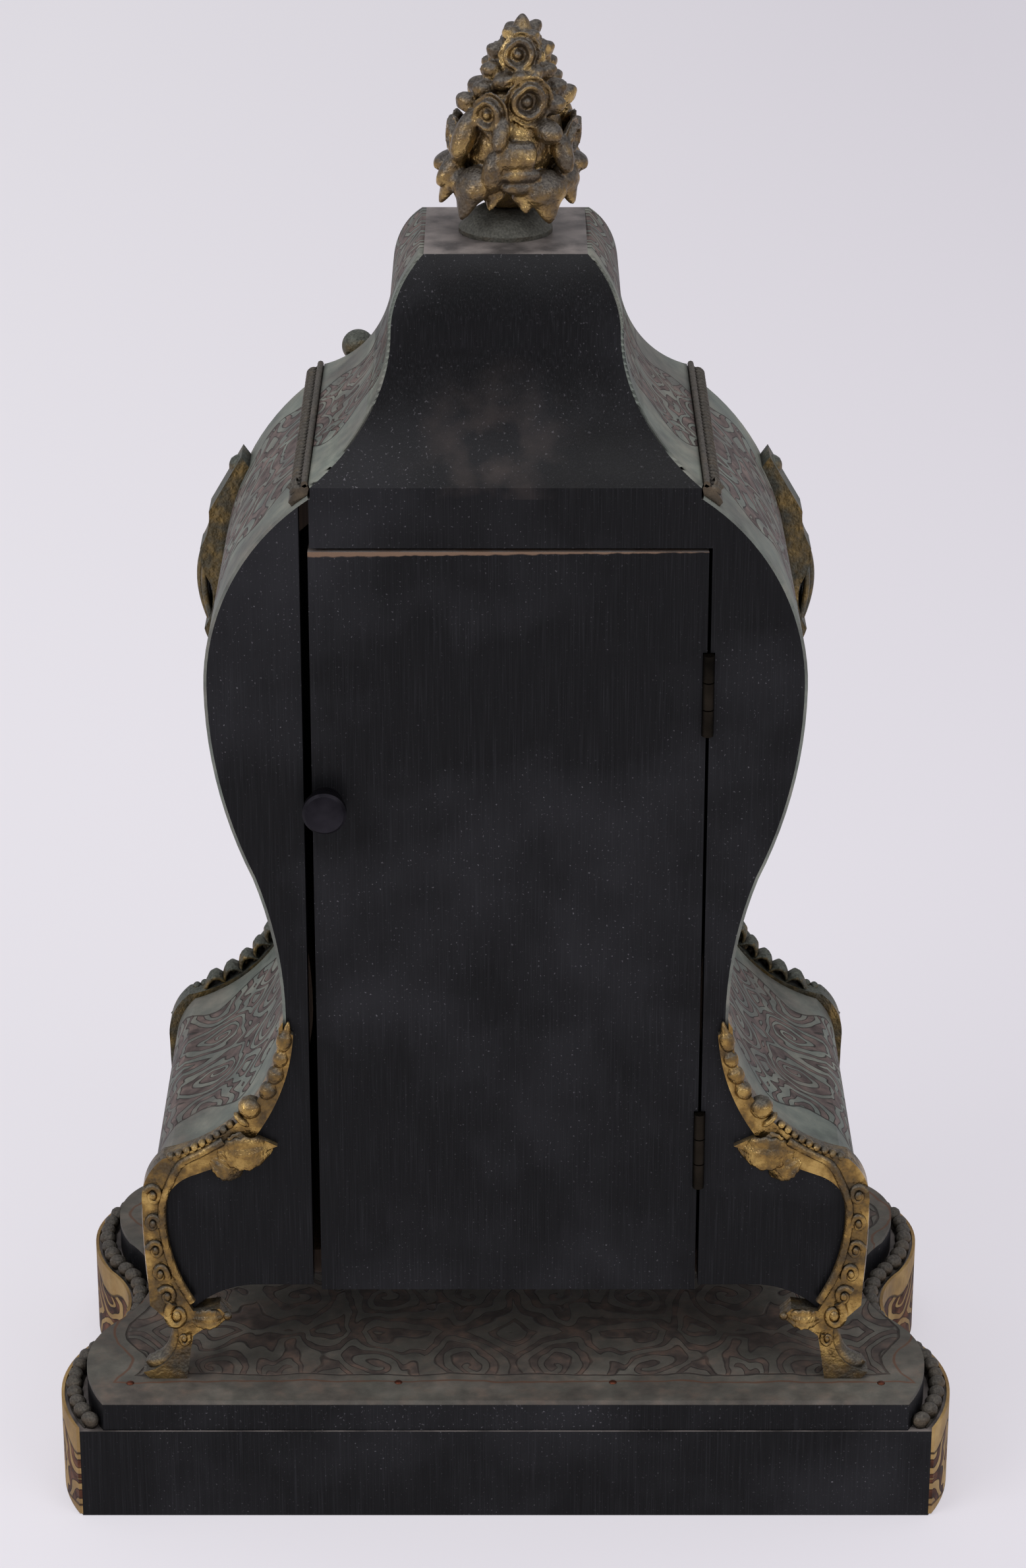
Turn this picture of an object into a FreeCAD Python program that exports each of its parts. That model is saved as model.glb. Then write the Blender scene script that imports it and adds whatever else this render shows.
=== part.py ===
import FreeCAD, Part
import math
import os
import re

import Sketcher
from FreeCAD import Placement, Rotation, Vector

# Waisted table clock on its own plinth: a veneered case with cast mounts, a back door on
# butt hinges, and a spring-driven pendulum timepiece inside. Millimetres, +Z up, the dial
# faces -Y and the door faces +Y. The origin is the middle of the plinth's underside.

# Driving lengths. Every other length in the model is worked out from these.
SIZES = {
    # Plinth: a serpentine block, a smaller slab on it, and bead mouldings on the ledge
    "plinth_depth": 160.0,
    "block_height": 31.0,
    "plinth_half": 142.5,
    "band_thickness": 1.0,
    "band_lip": 1.4,
    "band_foot": 0.6,
    "ledge_width": 8.5,
    "slab_setback": 0.6,
    "slab_thickness": 9.4,
    "plate_thickness": 1.6,
    "bead_radius": 2.9,
    "bead_strip_height": 1.6,
    "bead_strip_width": 5.0,
    # Case outline, each point reached from the one before it
    "back_setback": 16.0,
    "case_depth": 120.0,
    "arch_reach": 20.5,
    "arch_height": 75.0,
    "corner_tuck": 11.5,
    "corner_height": 66.5,
    "knee_reach": 6.0,
    "knee_rise": 37.5,
    "brow_reach": 36.7,
    "brow_rise": 14.4,
    "waist_half": 67.3,
    "waist_rise": 49.6,
    "bend_swell": 8.2,
    "bend_rise": 47.5,
    "belly_swell": 13.1,
    "belly_rise": 61.5,
    "shoulder_fall": 31.2,
    "shoulder_rise": 59.0,
    "wall": 8.0,
    "veneer": 0.9,
    "fit_clearance": 0.3,
    # Back of the case
    "back_board": 8.0,
    "opening_lap": 3.1,
    "rail_height": 15.0,
    "door_lap": 1.8,
    "door_top_gap": 1.2,
    "door_hinge_gap": 1.0,
    "door_latch_gap": 2.6,
    # Butt hinges of the door
    "hinge_length": 26.0,
    "upper_hinge_drop": 74.0,
    "lower_hinge_rise": 35.0,
    "leaf_thickness": 1.0,
    "leaf_width": 7.0,
    "mortise_depth": 1.3,
    "knuckle_radius": 1.7,
    "knuckle_gap": 0.4,
    "pin_radius": 0.8,
    "pin_proud": 0.9,
    "running_clearance": 0.05,
    # Turn knob of the door
    "knob_inset": 6.5,
    "knob_height": 240.0,
    "knob_radius": 6.6,
    "knob_thickness": 3.0,
    "knob_stem_radius": 3.1,
    "knob_stem_length": 6.0,
    "knob_washer_radius": 5.2,
    "knob_washer_thickness": 0.8,
    "latch_length": 13.0,
    "latch_width": 6.0,
    "latch_thickness": 2.0,
    "latch_gap": 0.4,
    # Cap over the case
    "cap_height": 64.0,
    "cap_setback": 0.5,
    "cap_foot_rise": 3.5,
    "cap_hollow": 23.3,
    "cap_neck_rise": 43.0,
    "cap_round": 9.6,
    "cap_hollow_depth": 24.0,
    "cap_round_depth": 10.0,
    "ridge_width": 5.5,
    "ridge_proud": 1.6,
    "ridge_inset": 1.0,
    "stud_radius": 5.2,
    "stud_rise": 10.3,
    "stud_place": 46.5,
    # Finial
    "finial_foot_radius": 14.0,
    "finial_foot_height": 8.0,
    "finial_neck_radius": 6.0,
    "finial_height": 65.0,
    "finial_radius": 24.0,
    # Cast mounts on the corners
    "mount_face": 2.2,
    "mount_wrap": 5.5,
    "mount_tip_proud": 2.2,
    "mount_brow_proud": 2.4,
    "mount_knee_proud": 3.4,
    "toe_reach": 5.0,
    "foot_width": 13.8,
    "ankle_tuck": 11.5,
    "ankle_drop": 6.5,
    "scroll_reach": 14.4,
    "scroll_drop": 2.5,
    "shoulder_mount_depth": 13.0,
    "shoulder_mount_setback": 3.5,
    "shoulder_mount_drop": 34.0,
    "shoulder_mount_rise": 34.0,
    "shoulder_mount_proud": 8.5,
    # Front: dial, glazed bezel and its hinge
    "dial_drop": 9.0,
    "dial_radius": 60.0,
    "dial_thickness": 1.2,
    "dial_hole_radius": 55.0,
    "dial_centre_radius": 4.2,
    "winding_hole_radius": 4.5,
    "bezel_inner": 57.5,
    "bezel_outer": 66.0,
    "bezel_depth": 8.6,
    "bezel_gap": 0.4,
    "glass_thickness": 1.6,
    "glass_recess": 1.6,
    "glass_lap": 1.8,
    "bezel_pin_reach": 2.6,
    "bezel_lug_radius": 2.0,
    "bezel_lug_length": 8.0,
    "bezel_ear_length": 4.0,
    "bezel_ear_gap": 0.4,
    "bezel_pin_rise": 2.0,
    "bezel_foot_thickness": 1.0,
    "bezel_foot_reach": 4.0,
    "bezel_shoulder": 3.0,
    "bezel_lip": 2.4,
    # Movement: two round plates on pillars behind the dial
    "plate_radius": 54.0,
    "plate_gauge": 2.4,
    "dial_space": 20.0,
    "plate_space": 36.0,
    "pillar_radius": 3.0,
    "pillar_circle": 47.0,
    "dial_pillar_radius": 2.2,
    "dial_pillar_circle": 44.0,
    "pivot_radius": 0.5,
    "power_module": 0.6,
    "second_module": 0.7,
    "time_module": 0.5,
    "motion_module": 0.5,
    "barrel_drop": 27.7,
    "escape_rise": 30.0,
    "barrel_radius": 21.5,
    "barrel_length": 20.0,
    "barrel_wall": 1.4,
    "winding_arbor_radius": 3.0,
    "winding_pivot": 1.5,
    "winding_square": 4.0,
    "winding_square_length": 14.0,
    "ratchet_radius": 9.0,
    "ratchet_thickness": 2.0,
    "ratchet_gap": 0.8,
    "click_clearance": 0.3,
    "ratchet_tooth": 1.4,
    "click_width": 4.0,
    "click_length": 10.0,
    "spring_gauge": 0.4,
    "spring_gap": 0.7,
    "thick_arbor": 1.2,
    "thin_arbor": 0.75,
    "great_wheel_thickness": 2.0,
    "wheel_thickness": 1.4,
    "pinion_overhang": 0.8,
    "level_gap": 1.2,
    "end_shake": 0.2,
    "third_level": 14.0,
    "escape_level": 28.0,
    "escape_radius": 12.0,
    "escape_tooth": 1.7,
    "pallet_clearance": 0.75,
    "pallet_width": 1.8,
    "pallet_reach": 1.6,
    "anchor_arm": 2.4,
    "anchor_thickness": 3.0,
    "anchor_hub": 2.8,
    "rim_width": 2.2,
    "hub_width": 2.0,
    "spoke_width": 2.2,
    # Motion work and hands
    "cannon_pipe": 2.1,
    "hour_pipe": 3.2,
    "stud_post_radius": 1.0,
    "motion_gap": 2.6,
    "motion_thickness": 1.8,
    "motion_step": 2.2,
    "hour_hand_length": 33.0,
    "minute_hand_length": 48.0,
    "hand_thickness": 0.8,
    "hand_width": 5.0,
    "hand_boss": 5.2,
    "hand_gap": 1.2,
    # Pendulum
    "cock_arm": 2.4,
    "cock_gap": 5.2,
    "cock_half": 9.0,
    "cock_leg": 5.0,
    "cock_rise": 7.0,
    "crutch_gap": 1.2,
    "crutch_thickness": 2.0,
    "crutch_width": 3.0,
    "crutch_length": 38.0,
    "fork_prong": 1.6,
    "fork_clearance": 0.3,
    "peg_radius": 1.0,
    "peg_length": 8.0,
    "pivot_depth": 1.9,
    "eye_radius": 3.0,
    "eye_width": 5.0,
    "rod_radius": 1.2,
    "pendulum_length": 140.0,
    "bob_radius": 19.0,
    "bob_thickness": 9.0,
    "bob_edge": 3.2,
    "nut_radius": 3.6,
    "nut_height": 4.0,
    "rod_tail": 6.0,
    "cut_overrun": 5.0,
}

# Half widths and heights over the plinth's underside, worked out from the lengths above
WORKED_OUT = {
    "brow_half": "(waist_half + brow_reach)",
    "knee_half": "(brow_half + knee_reach)",
    "corner_half": "(knee_half - corner_tuck)",
    "arch_half": "(corner_half - arch_reach)",
    "bend_half": "(waist_half + bend_swell)",
    "belly_half": "(bend_half + belly_swell)",
    "shoulder_half": "(belly_half - shoulder_fall)",
    "opening_half": "(shoulder_half + opening_lap)",
    "knob_place": "(opening_half - knob_inset)",
    "knee_height": "(corner_height + knee_rise)",
    "brow_height": "(knee_height + brow_rise)",
    "waist_height": "(brow_height + waist_rise)",
    "bend_height": "(waist_height + bend_rise)",
    "belly_height": "(bend_height + belly_rise)",
    "shoulder_height": "(belly_height + shoulder_rise)",
    "upper_hinge_height": "(shoulder_height - upper_hinge_drop)",
    "lower_hinge_height": "(arch_height + lower_hinge_rise)",
    "cap_base_half": "(shoulder_half - cap_setback)",
    "cap_neck_half": "(cap_base_half - cap_hollow)",
    "cap_top_half": "(cap_neck_half - cap_round)",
    "cap_neck_depth": "(case_depth / 2 - cap_hollow_depth)",
    "cap_top_depth": "(cap_neck_depth - cap_round_depth)",
    "cap_top_height": "(shoulder_height + cap_height)",
    "stud_height": "(shoulder_height + stud_rise)",
    "toe_half": "(knee_half + toe_reach)",
    "heel_half": "(toe_half - foot_width)",
    "ankle_half": "(toe_half - ankle_tuck)",
    "scroll_half": "(heel_half - scroll_reach)",
    "ankle_height": "(corner_height - ankle_drop)",
    "scroll_height": "(corner_height - scroll_drop)",
    "shoulder_mount_foot": "(belly_height - shoulder_mount_drop)",
    "shoulder_mount_head": "(belly_height + shoulder_mount_rise)",
    "dial_height": "(belly_height - dial_drop)",
}

# Tooth counts of the going train and the motion work
GREAT_TEETH, SECOND_LEAVES = 80, 10
SECOND_TEETH, CENTRE_LEAVES = 60, 8
CENTRE_TEETH, THIRD_LEAVES = 80, 8
THIRD_TEETH, ESCAPE_LEAVES = 72, 6
ESCAPE_TEETH = 40
PALLET_SPAN = 8.5
CANNON_TEETH, MINUTE_TEETH = 12, 36
MINUTE_LEAVES, HOUR_TEETH = 10, 40
RATCHET_TEETH = 24

LEFT, RIGHT = 1, -1

doc = FreeCAD.newDocument("waisted_table_clock")
sheet = doc.addObject("Spreadsheet::Sheet", "sizes")
for row, (alias, size) in enumerate(SIZES.items(), start=1):
    sheet.set(f"A{row}", alias)
    sheet.set(f"B{row}", str(size))
    sheet.setAlias(f"B{row}", alias)
doc.recompute()

WORD = re.compile(r"[a-z][a-z0-9_]*")
nodes = []


def bound(text):
    """The formula with each size's name pointing at its cell."""

    def cell(match):
        word = match[0]
        if word in WORKED_OUT:
            return bound(WORKED_OUT[word])
        return f"sizes.{word}" if word in SIZES else word

    return WORD.sub(cell, str(text))


def value(text):
    return float(sheet.evalExpression(bound(text)))


def bind(thing, **formulas):
    for name, formula in formulas.items():
        thing.setExpression(name, bound(formula))


def place(thing, x="0", y="0", z="0"):
    for axis, formula in (("x", x), ("y", y), ("z", z)):
        thing.setExpression(f"Placement.Base.{axis}", bound(formula))
    return thing


def keep(thing, label):
    """Names a finished sub-part and puts it on the list of files."""
    thing.Label = label
    nodes.append(thing)
    return thing


# Outlines are lists of corners, (x, y) after a straight edge or (x, y, radius, turn) after an arc


def reverse(path):
    back = []
    for index in range(len(path) - 1, -1, -1):
        arc = path[index + 1][2:] if index + 1 < len(path) else ()
        back.append(path[index][:2] + ((arc[0], -arc[1]) if arc else ()))
    return back


def flip(path):
    """The path mirrored from right to left."""
    return [(f"-({p[0]})",) + p[1:2] + ((p[2], -p[3]) if len(p) == 4 else ()) for p in path]


def both_sides(half):
    """Closed outline from its right half, which starts and ends on the middle line."""
    left = flip(reverse(half))
    return [left[-1]] + half[1:] + left[1:-1]


def square_arc(across, along):
    """Radius of an arc that starts square to the first of its two reaches."""
    return f"(({across})^2 + ({along})^2) / (2 * abs({across}))"


def arc_edge(start, end, radius, turn):
    chord = end - start
    rise = math.sqrt(max(radius**2 - chord.Length**2 / 4, 0))
    aside = Vector(-chord.y, chord.x, 0).normalize()
    centre = (start + end) / 2 + aside * (rise * turn)
    first, last = (start, end) if turn == LEFT else (end, start)
    angles = [math.atan2(p.y - centre.y, p.x - centre.x) for p in (first, last)]
    if angles[1] < angles[0]:
        angles[1] += 2 * math.pi
    return Part.ArcOfCircle(Part.Circle(centre, Vector(0, 0, 1), radius), *angles)


def draw_outline(sketch, outline):
    """Adds a closed outline whose corners and radii stay bound to the sheet."""
    count = len(outline)
    spots = [Vector(value(corner[0]), value(corner[1]), 0) for corner in outline]
    turns = [corner[3] if len(corner) == 4 else LEFT for corner in outline]
    edges = []
    for index, corner in enumerate(outline):
        start, end = spots[index - 1], spots[index]
        if len(corner) == 4:
            edges.append(arc_edge(start, end, value(corner[2]), corner[3]))
        else:
            edges.append(Part.LineSegment(start, end))
    first = sketch.GeometryCount
    sketch.addGeometry(edges, False)
    rules, formulas = [], []
    for index, corner in enumerate(outline):
        edge, after = first + index, first + (index + 1) % count
        arrival = 2 if turns[index] == LEFT else 1
        departure = 1 if turns[(index + 1) % count] == LEFT else 2
        rules.append(Sketcher.Constraint("Coincident", edge, arrival, after, departure))
        for kind, spot, formula in zip(("DistanceX", "DistanceY"), spots[index], corner[:2]):
            formulas.append((sketch.ConstraintCount + len(rules), formula))
            rules.append(Sketcher.Constraint(kind, -1, 1, edge, arrival, spot))
        if len(corner) == 4:
            formulas.append((sketch.ConstraintCount + len(rules), corner[2]))
            rules.append(Sketcher.Constraint("Radius", edge, value(corner[2])))
    sketch.addConstraint(rules)
    for number, formula in formulas:
        sketch.setExpression(f"Constraints[{number}]", bound(formula))


def draw_circle(sketch, x, y, radius):
    first, number = sketch.GeometryCount, sketch.ConstraintCount
    centre = Vector(value(x), value(y), 0)
    sketch.addGeometry(Part.Circle(centre, Vector(0, 0, 1), value(radius)), False)
    sketch.addConstraint([
        Sketcher.Constraint("DistanceX", -1, 1, first, 3, centre.x),
        Sketcher.Constraint("DistanceY", -1, 1, first, 3, centre.y),
        Sketcher.Constraint("Radius", first, value(radius)),
    ])
    for offset, formula in enumerate((x, y, radius)):
        sketch.setExpression(f"Constraints[{number + offset}]", bound(formula))


def new_body(label):
    return doc.addObject("PartDesign::Body", label)


def new_sketch(body, name, plane, outlines=(), circles=(), lift="0"):
    """A sketch on one of the body's own planes, raised along that plane's normal."""
    sketch = body.newObject("Sketcher::SketchObject", f"{body.Name}_{name}")
    support = next(f for f in body.Origin.OriginFeatures if f.Role == plane)
    sketch.AttachmentSupport = [(support, "")]
    sketch.MapMode = "FlatFace"
    sketch.setExpression("AttachmentOffset.Base.z", bound(lift))
    for outline in outlines:
        draw_outline(sketch, outline)
    for circle in circles:
        draw_circle(sketch, *circle)
    return sketch


def pad(body, sketch, length):
    feature = body.newObject("PartDesign::Pad", f"{sketch.Name}_pad")
    feature.Profile = sketch
    bind(feature, Length=length)
    return feature


def pocket(body, sketch, depth):
    """Cuts along the sketch's normal, which is the way the pads run."""
    feature = body.newObject("PartDesign::Pocket", f"{sketch.Name}_pocket")
    feature.Profile = sketch
    feature.Reversed = True
    bind(feature, Length=depth)
    return feature


def revolve(body, sketch):
    feature = body.newObject("PartDesign::Revolution", f"{sketch.Name}_turned")
    feature.Profile = sketch
    feature.ReferenceAxis = (sketch, ["V_Axis"])
    feature.Angle = 360
    return feature


def board(label, outline, back, thickness, circles=()):
    """A flat board cut to an outline seen from the front, from its back face forwards."""
    body = new_body(label)
    pad(body, new_sketch(body, "outline", "XZ_Plane", [outline], circles), thickness)
    return keep(place(body, y=back), label)


def slab(label, outline, bottom, thickness):
    body = new_body(label)
    pad(body, new_sketch(body, "outline", "XY_Plane", [outline]), thickness)
    return keep(place(body, z=bottom), label)


def turned(label, outline, x, y, z, plane="XY_Plane"):
    """A turned piece: the plane XY turns about Y and XZ about Z."""
    body = new_body(label)
    revolve(body, new_sketch(body, "profile", plane, [outline]))
    return place(body, x, y, z)


def block(name, x, y, z, width, depth, height):
    box = doc.addObject("Part::Box", name)
    bind(box, Length=width, Width=depth, Height=height)
    return place(box, x, y, z)


def rod(name, x, y, z, radius, length, along="Y"):
    cylinder = doc.addObject("Part::Cylinder", name)
    bind(cylinder, Radius=radius, Height=length)
    if along == "Y":
        cylinder.Placement = Placement(Vector(), Rotation(Vector(1, 0, 0), -90))
    return place(cylinder, x, y, z)


def fuse(name, pieces):
    joined = doc.addObject("Part::MultiFuse", name)
    joined.Shapes = pieces
    return joined


def cut(name, base, tool):
    result = doc.addObject("Part::Cut", name)
    result.Base, result.Tool = base, tool
    return result


def common(name, base, tool):
    result = doc.addObject("Part::Common", name)
    result.Base, result.Tool = base, tool
    return result


def group(name, pieces):
    gathered = doc.addObject("Part::Compound", name)
    gathered.Links = pieces
    return gathered


def formed(label, shape):
    """A piece whose form no feature gives, shaped from values read off the sheet."""
    feature = doc.addObject("Part::Feature", label)
    feature.Shape = shape
    return keep(feature, label)


# Places that several pieces share
CASE_BACK = "(plinth_depth / 2 - back_setback)"
CASE_FRONT = f"({CASE_BACK} - case_depth)"
CASE_MIDDLE = f"({CASE_BACK} - case_depth / 2)"
INSIDE_BACK = f"({CASE_BACK} - back_board)"
PLINTH_TOP = "(block_height + slab_thickness + plate_thickness)"


# Plinth
FLANK_OUT_SHARE, FLANK_ALONG_SHARE = 0.745, 0.667
FRONT_IN_SHARE, FRONT_BACK_SHARE = 0.6, 0.8


# Named points of the plinth's plan, as shares of its half width and of its depth
PLAN_SHARES = {
    "rear": (1.0, 0.33125),
    "front": (0.9839, -0.275),
    "notch": (0.88, 0.021875),
    "flank": (0.93544, 0.1375),
    "rear_corner": (0.95088, 0.5),
    "front_corner": (0.88772, -0.45),
}


def plan_point(name):
    wide, along = PLAN_SHARES[name]
    return f"plinth_half * {wide}", f"plinth_depth * {along}"


def serpentine(inset, rear_inset="0"):
    """Right half of the plinth's plan from the front middle to the rear middle."""
    rear, front, notch, flank, rear_end, front_end = (plan_point(name) for name in PLAN_SHARES)
    rear = (f"{rear[0]} - {inset}", rear[1])
    front = (f"{front[0]} - {inset}", front[1])
    notch = (f"{notch[0]} - {inset}", notch[1])
    flank_out = f"{flank[0]} - {inset} * {FLANK_OUT_SHARE}"
    flank_along = f"({flank[1]} + {inset} * {FLANK_ALONG_SHARE})"
    rear_flank = (flank_out, f"{notch[1]} + {flank_along}")
    front_flank = (flank_out, f"{notch[1]} - {flank_along}")
    rear_corner = (f"{rear_end[0]} - {inset}", f"{rear_end[1]} - {rear_inset}")
    front_corner = (
        f"{front_end[0]} - {inset} * {FRONT_IN_SHARE}",
        f"{front_end[1]} + {inset} * {FRONT_BACK_SHARE}",
    )
    front_middle = ("0", f"{inset} - plinth_depth / 2")

    def wave(outer, inner):
        return square_arc(f"{outer[0]} - ({inner[0]})", f"{outer[1]} - ({inner[1]})")

    bow = square_arc(f"{front_corner[1]} - ({front_middle[1]})", front_corner[0])
    return [
        front_middle,
        front_corner + (bow, LEFT),
        front + (wave(front, front_corner), LEFT),
        front_flank + (wave(front, front_flank), LEFT),
        notch + (wave(notch, front_flank), RIGHT),
        rear_flank + (wave(notch, rear_flank), RIGHT),
        rear + (wave(rear, rear_flank), LEFT),
        rear_corner + (wave(rear, rear_corner), LEFT),
        ("0", rear_corner[1]),
    ]


def plinth():
    slab("plinth_block", both_sides(serpentine("band_thickness")), "0", "block_height")
    outside = serpentine("0")[1:-1]
    inside = serpentine("band_thickness")[1:-1]
    band = flip(reverse(outside)) + outside + reverse(inside) + flip(inside)
    slab("plinth_side_band", band, "band_foot", "block_height + band_lip - band_foot")
    top = both_sides(serpentine("ledge_width", "slab_setback"))
    slab("plinth_slab", top, "block_height", "slab_thickness")
    slab("plinth_top_plate", top, "block_height + slab_thickness", "plate_thickness")


def numeric_wire(path):
    """The path as a wire in the plane z = 0, for spacing things along it."""
    spots = [Vector(value(corner[0]), value(corner[1]), 0) for corner in path]
    edges = []
    for index in range(1, len(path)):
        if len(path[index]) == 4:
            edge = arc_edge(spots[index - 1], spots[index], value(path[index][2]), path[index][3])
        else:
            edge = Part.LineSegment(spots[index - 1], spots[index])
        edges.append(edge.toShape())
    return Part.Wire(edges)


BEAD_SPACING_SHARE = 1.02
BEAD_SIDES = 6
# A bead's foot and crown as shares of its radius: (height over the ledge, half width)
BEAD_SHARES = ((0.4, 0.8), (2.0, 0.5))


def faceted(rings, sides):
    """A solid with flat sides through rings of (height, half width) round the Z axis."""
    rows = []
    for height, wide in rings:
        turns = [2 * math.pi * k / sides for k in range(sides)]
        rows.append([Vector(wide * math.cos(turn), wide * math.sin(turn), height) for turn in turns])
    outlines = [rows[0][::-1], rows[-1]]
    for lower, upper in zip(rows, rows[1:]):
        outlines += [[lower[k - 1], lower[k], upper[k], upper[k - 1]] for k in range(sides)]
    faces = [Part.Face(Part.makePolygon(spots + spots[:1])) for spots in outlines]
    return Part.makeSolid(Part.makeShell(faces))


def bead_mouldings():
    """Cast strips of touching beads along the ledge, from the front middle to the rear corners."""
    middle = "ledge_width / 2"
    radius = value("bead_radius")
    line = numeric_wire(serpentine(middle, "bead_radius")[:-1])
    count = int(line.Length / (2 * radius * BEAD_SPACING_SHARE))
    spots = line.discretize(Number=count + 1)[1:]
    bead = faceted([(radius * high, radius * wide) for high, wide in BEAD_SHARES], BEAD_SIDES)
    edge_out = serpentine(f"({middle} - bead_strip_width / 2)", "bead_radius")[:-1]
    edge_in = serpentine(f"({middle} + bead_strip_width / 2)", "bead_radius")[:-1]
    strip = edge_out + reverse(edge_in)
    for label, outline, side in (("left", strip, 1), ("right", flip(strip), -1)):
        body = new_body(f"bead_strip_{label}")
        pad(body, new_sketch(body, "outline", "XY_Plane", [outline]), "bead_strip_height")
        place(body, z="block_height")
        lift = Vector(0, 0, value("block_height"))
        beads = doc.addObject("Part::Feature", f"beads_{label}")
        row = [bead.translated(Vector(side * p.x, p.y, 0) + lift) for p in spots]
        beads.Shape = Part.makeCompound(row)
        keep(fuse(f"bead_moulding_{label}", [body, beads]), f"bead_moulding_{label}")


# Case
CORNER_RISE_SHARE, BROW_IN_SHARE, SHOULDER_IN_SHARE = 0.6, 0.4, 0.29
BEND_IN_SHARE, BEND_UP_SHARE = 0.91, 0.41


def between(first, second):
    return square_arc(f"{first[0]} - ({second[0]})", f"{first[1]} - ({second[1]})")


def profile_points(inset):
    """Named points of the case's right-hand outline, drawn in by an inset."""
    return {
        "corner": (f"corner_half - {inset}", f"corner_height + {inset} * {CORNER_RISE_SHARE}"),
        "knee": (f"knee_half - {inset}", "knee_height"),
        "brow": (f"brow_half - {inset} * {BROW_IN_SHARE}", f"brow_height - {inset}"),
        "waist": (f"waist_half - {inset}", "waist_height"),
        "bend": (f"bend_half - {inset} * {BEND_IN_SHARE}", f"bend_height + {inset} * {BEND_UP_SHARE}"),
        "belly": (f"belly_half - {inset}", "belly_height"),
        "shoulder": (f"shoulder_half - {inset} * {SHOULDER_IN_SHARE}", f"shoulder_height - {inset}"),
    }


def side_profile(inset):
    """Right-hand outline of the case from its bottom corner to the shoulder."""
    p = profile_points(inset)
    return [
        p["corner"],
        p["knee"] + (between(p["knee"], p["corner"]), LEFT),
        p["brow"] + (between(p["knee"], p["brow"]), LEFT),
        p["waist"] + (between(p["waist"], p["brow"]), RIGHT),
        p["bend"] + (between(p["waist"], p["bend"]), RIGHT),
        p["belly"] + (between(p["belly"], p["bend"]), LEFT),
        p["shoulder"] + (between(p["belly"], p["shoulder"]), LEFT),
    ]


def shoulder_radius(inset):
    p = profile_points(inset)
    return between(p["belly"], p["shoulder"])


def across_at(height, inset, lower, upper):
    """Half width of the outline at a height on the arc between two of its points, one the belly."""
    p = profile_points(inset)
    radius = between(p["belly"], p[lower if upper == "belly" else upper])
    rise = f"({height} - belly_height)"
    return f"({p['belly'][0]} - {radius} + sqrt(({radius})^2 - {rise}^2))"


# Height where the shoulder's arc passes the edge of the door opening
STILE_TOP = (
    f"(belly_height + sqrt(({shoulder_radius('0')})^2"
    f" - (opening_half - belly_half + {shoulder_radius('0')})^2))"
)
ARCH = square_arc("arch_height - corner_height", "corner_half - arch_half")
MORTISE_DEPTH = "(leaf_width + running_clearance)"
HINGE_FEET = ("lower_hinge_height", "upper_hinge_height")
RAIL_BOTTOM = "(shoulder_height - rail_height)"


def mortises(edge, inwards):
    """Outlines of the hinge recesses on the edge of a back board."""
    far = f"{edge} + ({inwards}) * mortise_depth"
    cuts = []
    for foot in HINGE_FEET:
        low, high = f"{foot} - fit_clearance", f"{foot} + hinge_length + fit_clearance"
        cuts.append([(edge, low), (far, low), (far, high), (edge, high)])
    return cuts


def carcass():
    outer, inner, skin = side_profile("0"), side_profile("wall"), side_profile("(-veneer)")
    foot = [("0", "arch_height"), ("arch_half", "arch_height"), outer[0] + (ARCH, RIGHT)]
    front = both_sides(foot + outer[1:] + [("0", "shoulder_height")])
    inside_depth = "case_depth - back_board - wall"
    for label, turn in (("left", lambda path: path), ("right", flip)):
        board(f"case_side_{label}", turn(outer + reverse(inner)), INSIDE_BACK, inside_depth)
        board(f"side_veneer_{label}", turn(skin + reverse(outer)), CASE_BACK, "case_depth")
    dial_hole = ("0", "dial_height", "dial_hole_radius")
    board("front_board", front, f"{CASE_FRONT} + wall", "wall", [dial_hole])
    floor = block(
        "case_floor", "wall + fit_clearance - corner_half", f"{CASE_FRONT} + wall", "arch_height",
        "2 * (corner_half - wall - fit_clearance)", inside_depth, "wall",
    )
    keep(floor, "case_floor")
    # Back: a shaped stile each side and a rail over the door
    shoulder_point = ("opening_half", STILE_TOP, shoulder_radius("0"), LEFT)
    stile = [("opening_half", "arch_height")] + foot[1:] + outer[1:-1] + [shoulder_point]
    board("back_stile_left", stile, CASE_BACK, "back_board")
    hinge_side = board("back_stile_right", flip(stile), CASE_BACK, "back_board")
    recess = new_sketch(hinge_side, "mortises", "XZ_Plane", mortises("-opening_half", "-1"))
    pocket(hinge_side, recess, MORTISE_DEPTH)
    rail = [
        ("-opening_half", RAIL_BOTTOM),
        ("shoulder_half", RAIL_BOTTOM),
        ("shoulder_half", "shoulder_height"),
        ("-shoulder_half", "shoulder_height"),
        ("-opening_half", STILE_TOP),
    ]
    board("back_top_rail", rail, CASE_BACK, "back_board")


DOOR_HINGE_EDGE = "(door_hinge_gap - opening_half)"
DOOR_TOP = f"({RAIL_BOTTOM} - door_top_gap)"
PIN_X = "(door_hinge_gap / 2 - opening_half)"
PIN_Y = f"({CASE_BACK} + pin_proud)"


def back_door():
    left, right = DOOR_HINGE_EDGE, "opening_half - door_latch_gap"
    bottom = "arch_height - door_lap"
    panel = [(left, bottom), (right, bottom), (right, DOOR_TOP), (left, DOOR_TOP)]
    stem = ("knob_place", "knob_height", "knob_stem_radius + running_clearance")
    door = board("back_door", panel, CASE_BACK, "back_board", [stem])
    pocket(door, new_sketch(door, "mortises", "XZ_Plane", mortises(left, "1")), MORTISE_DEPTH)


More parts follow.
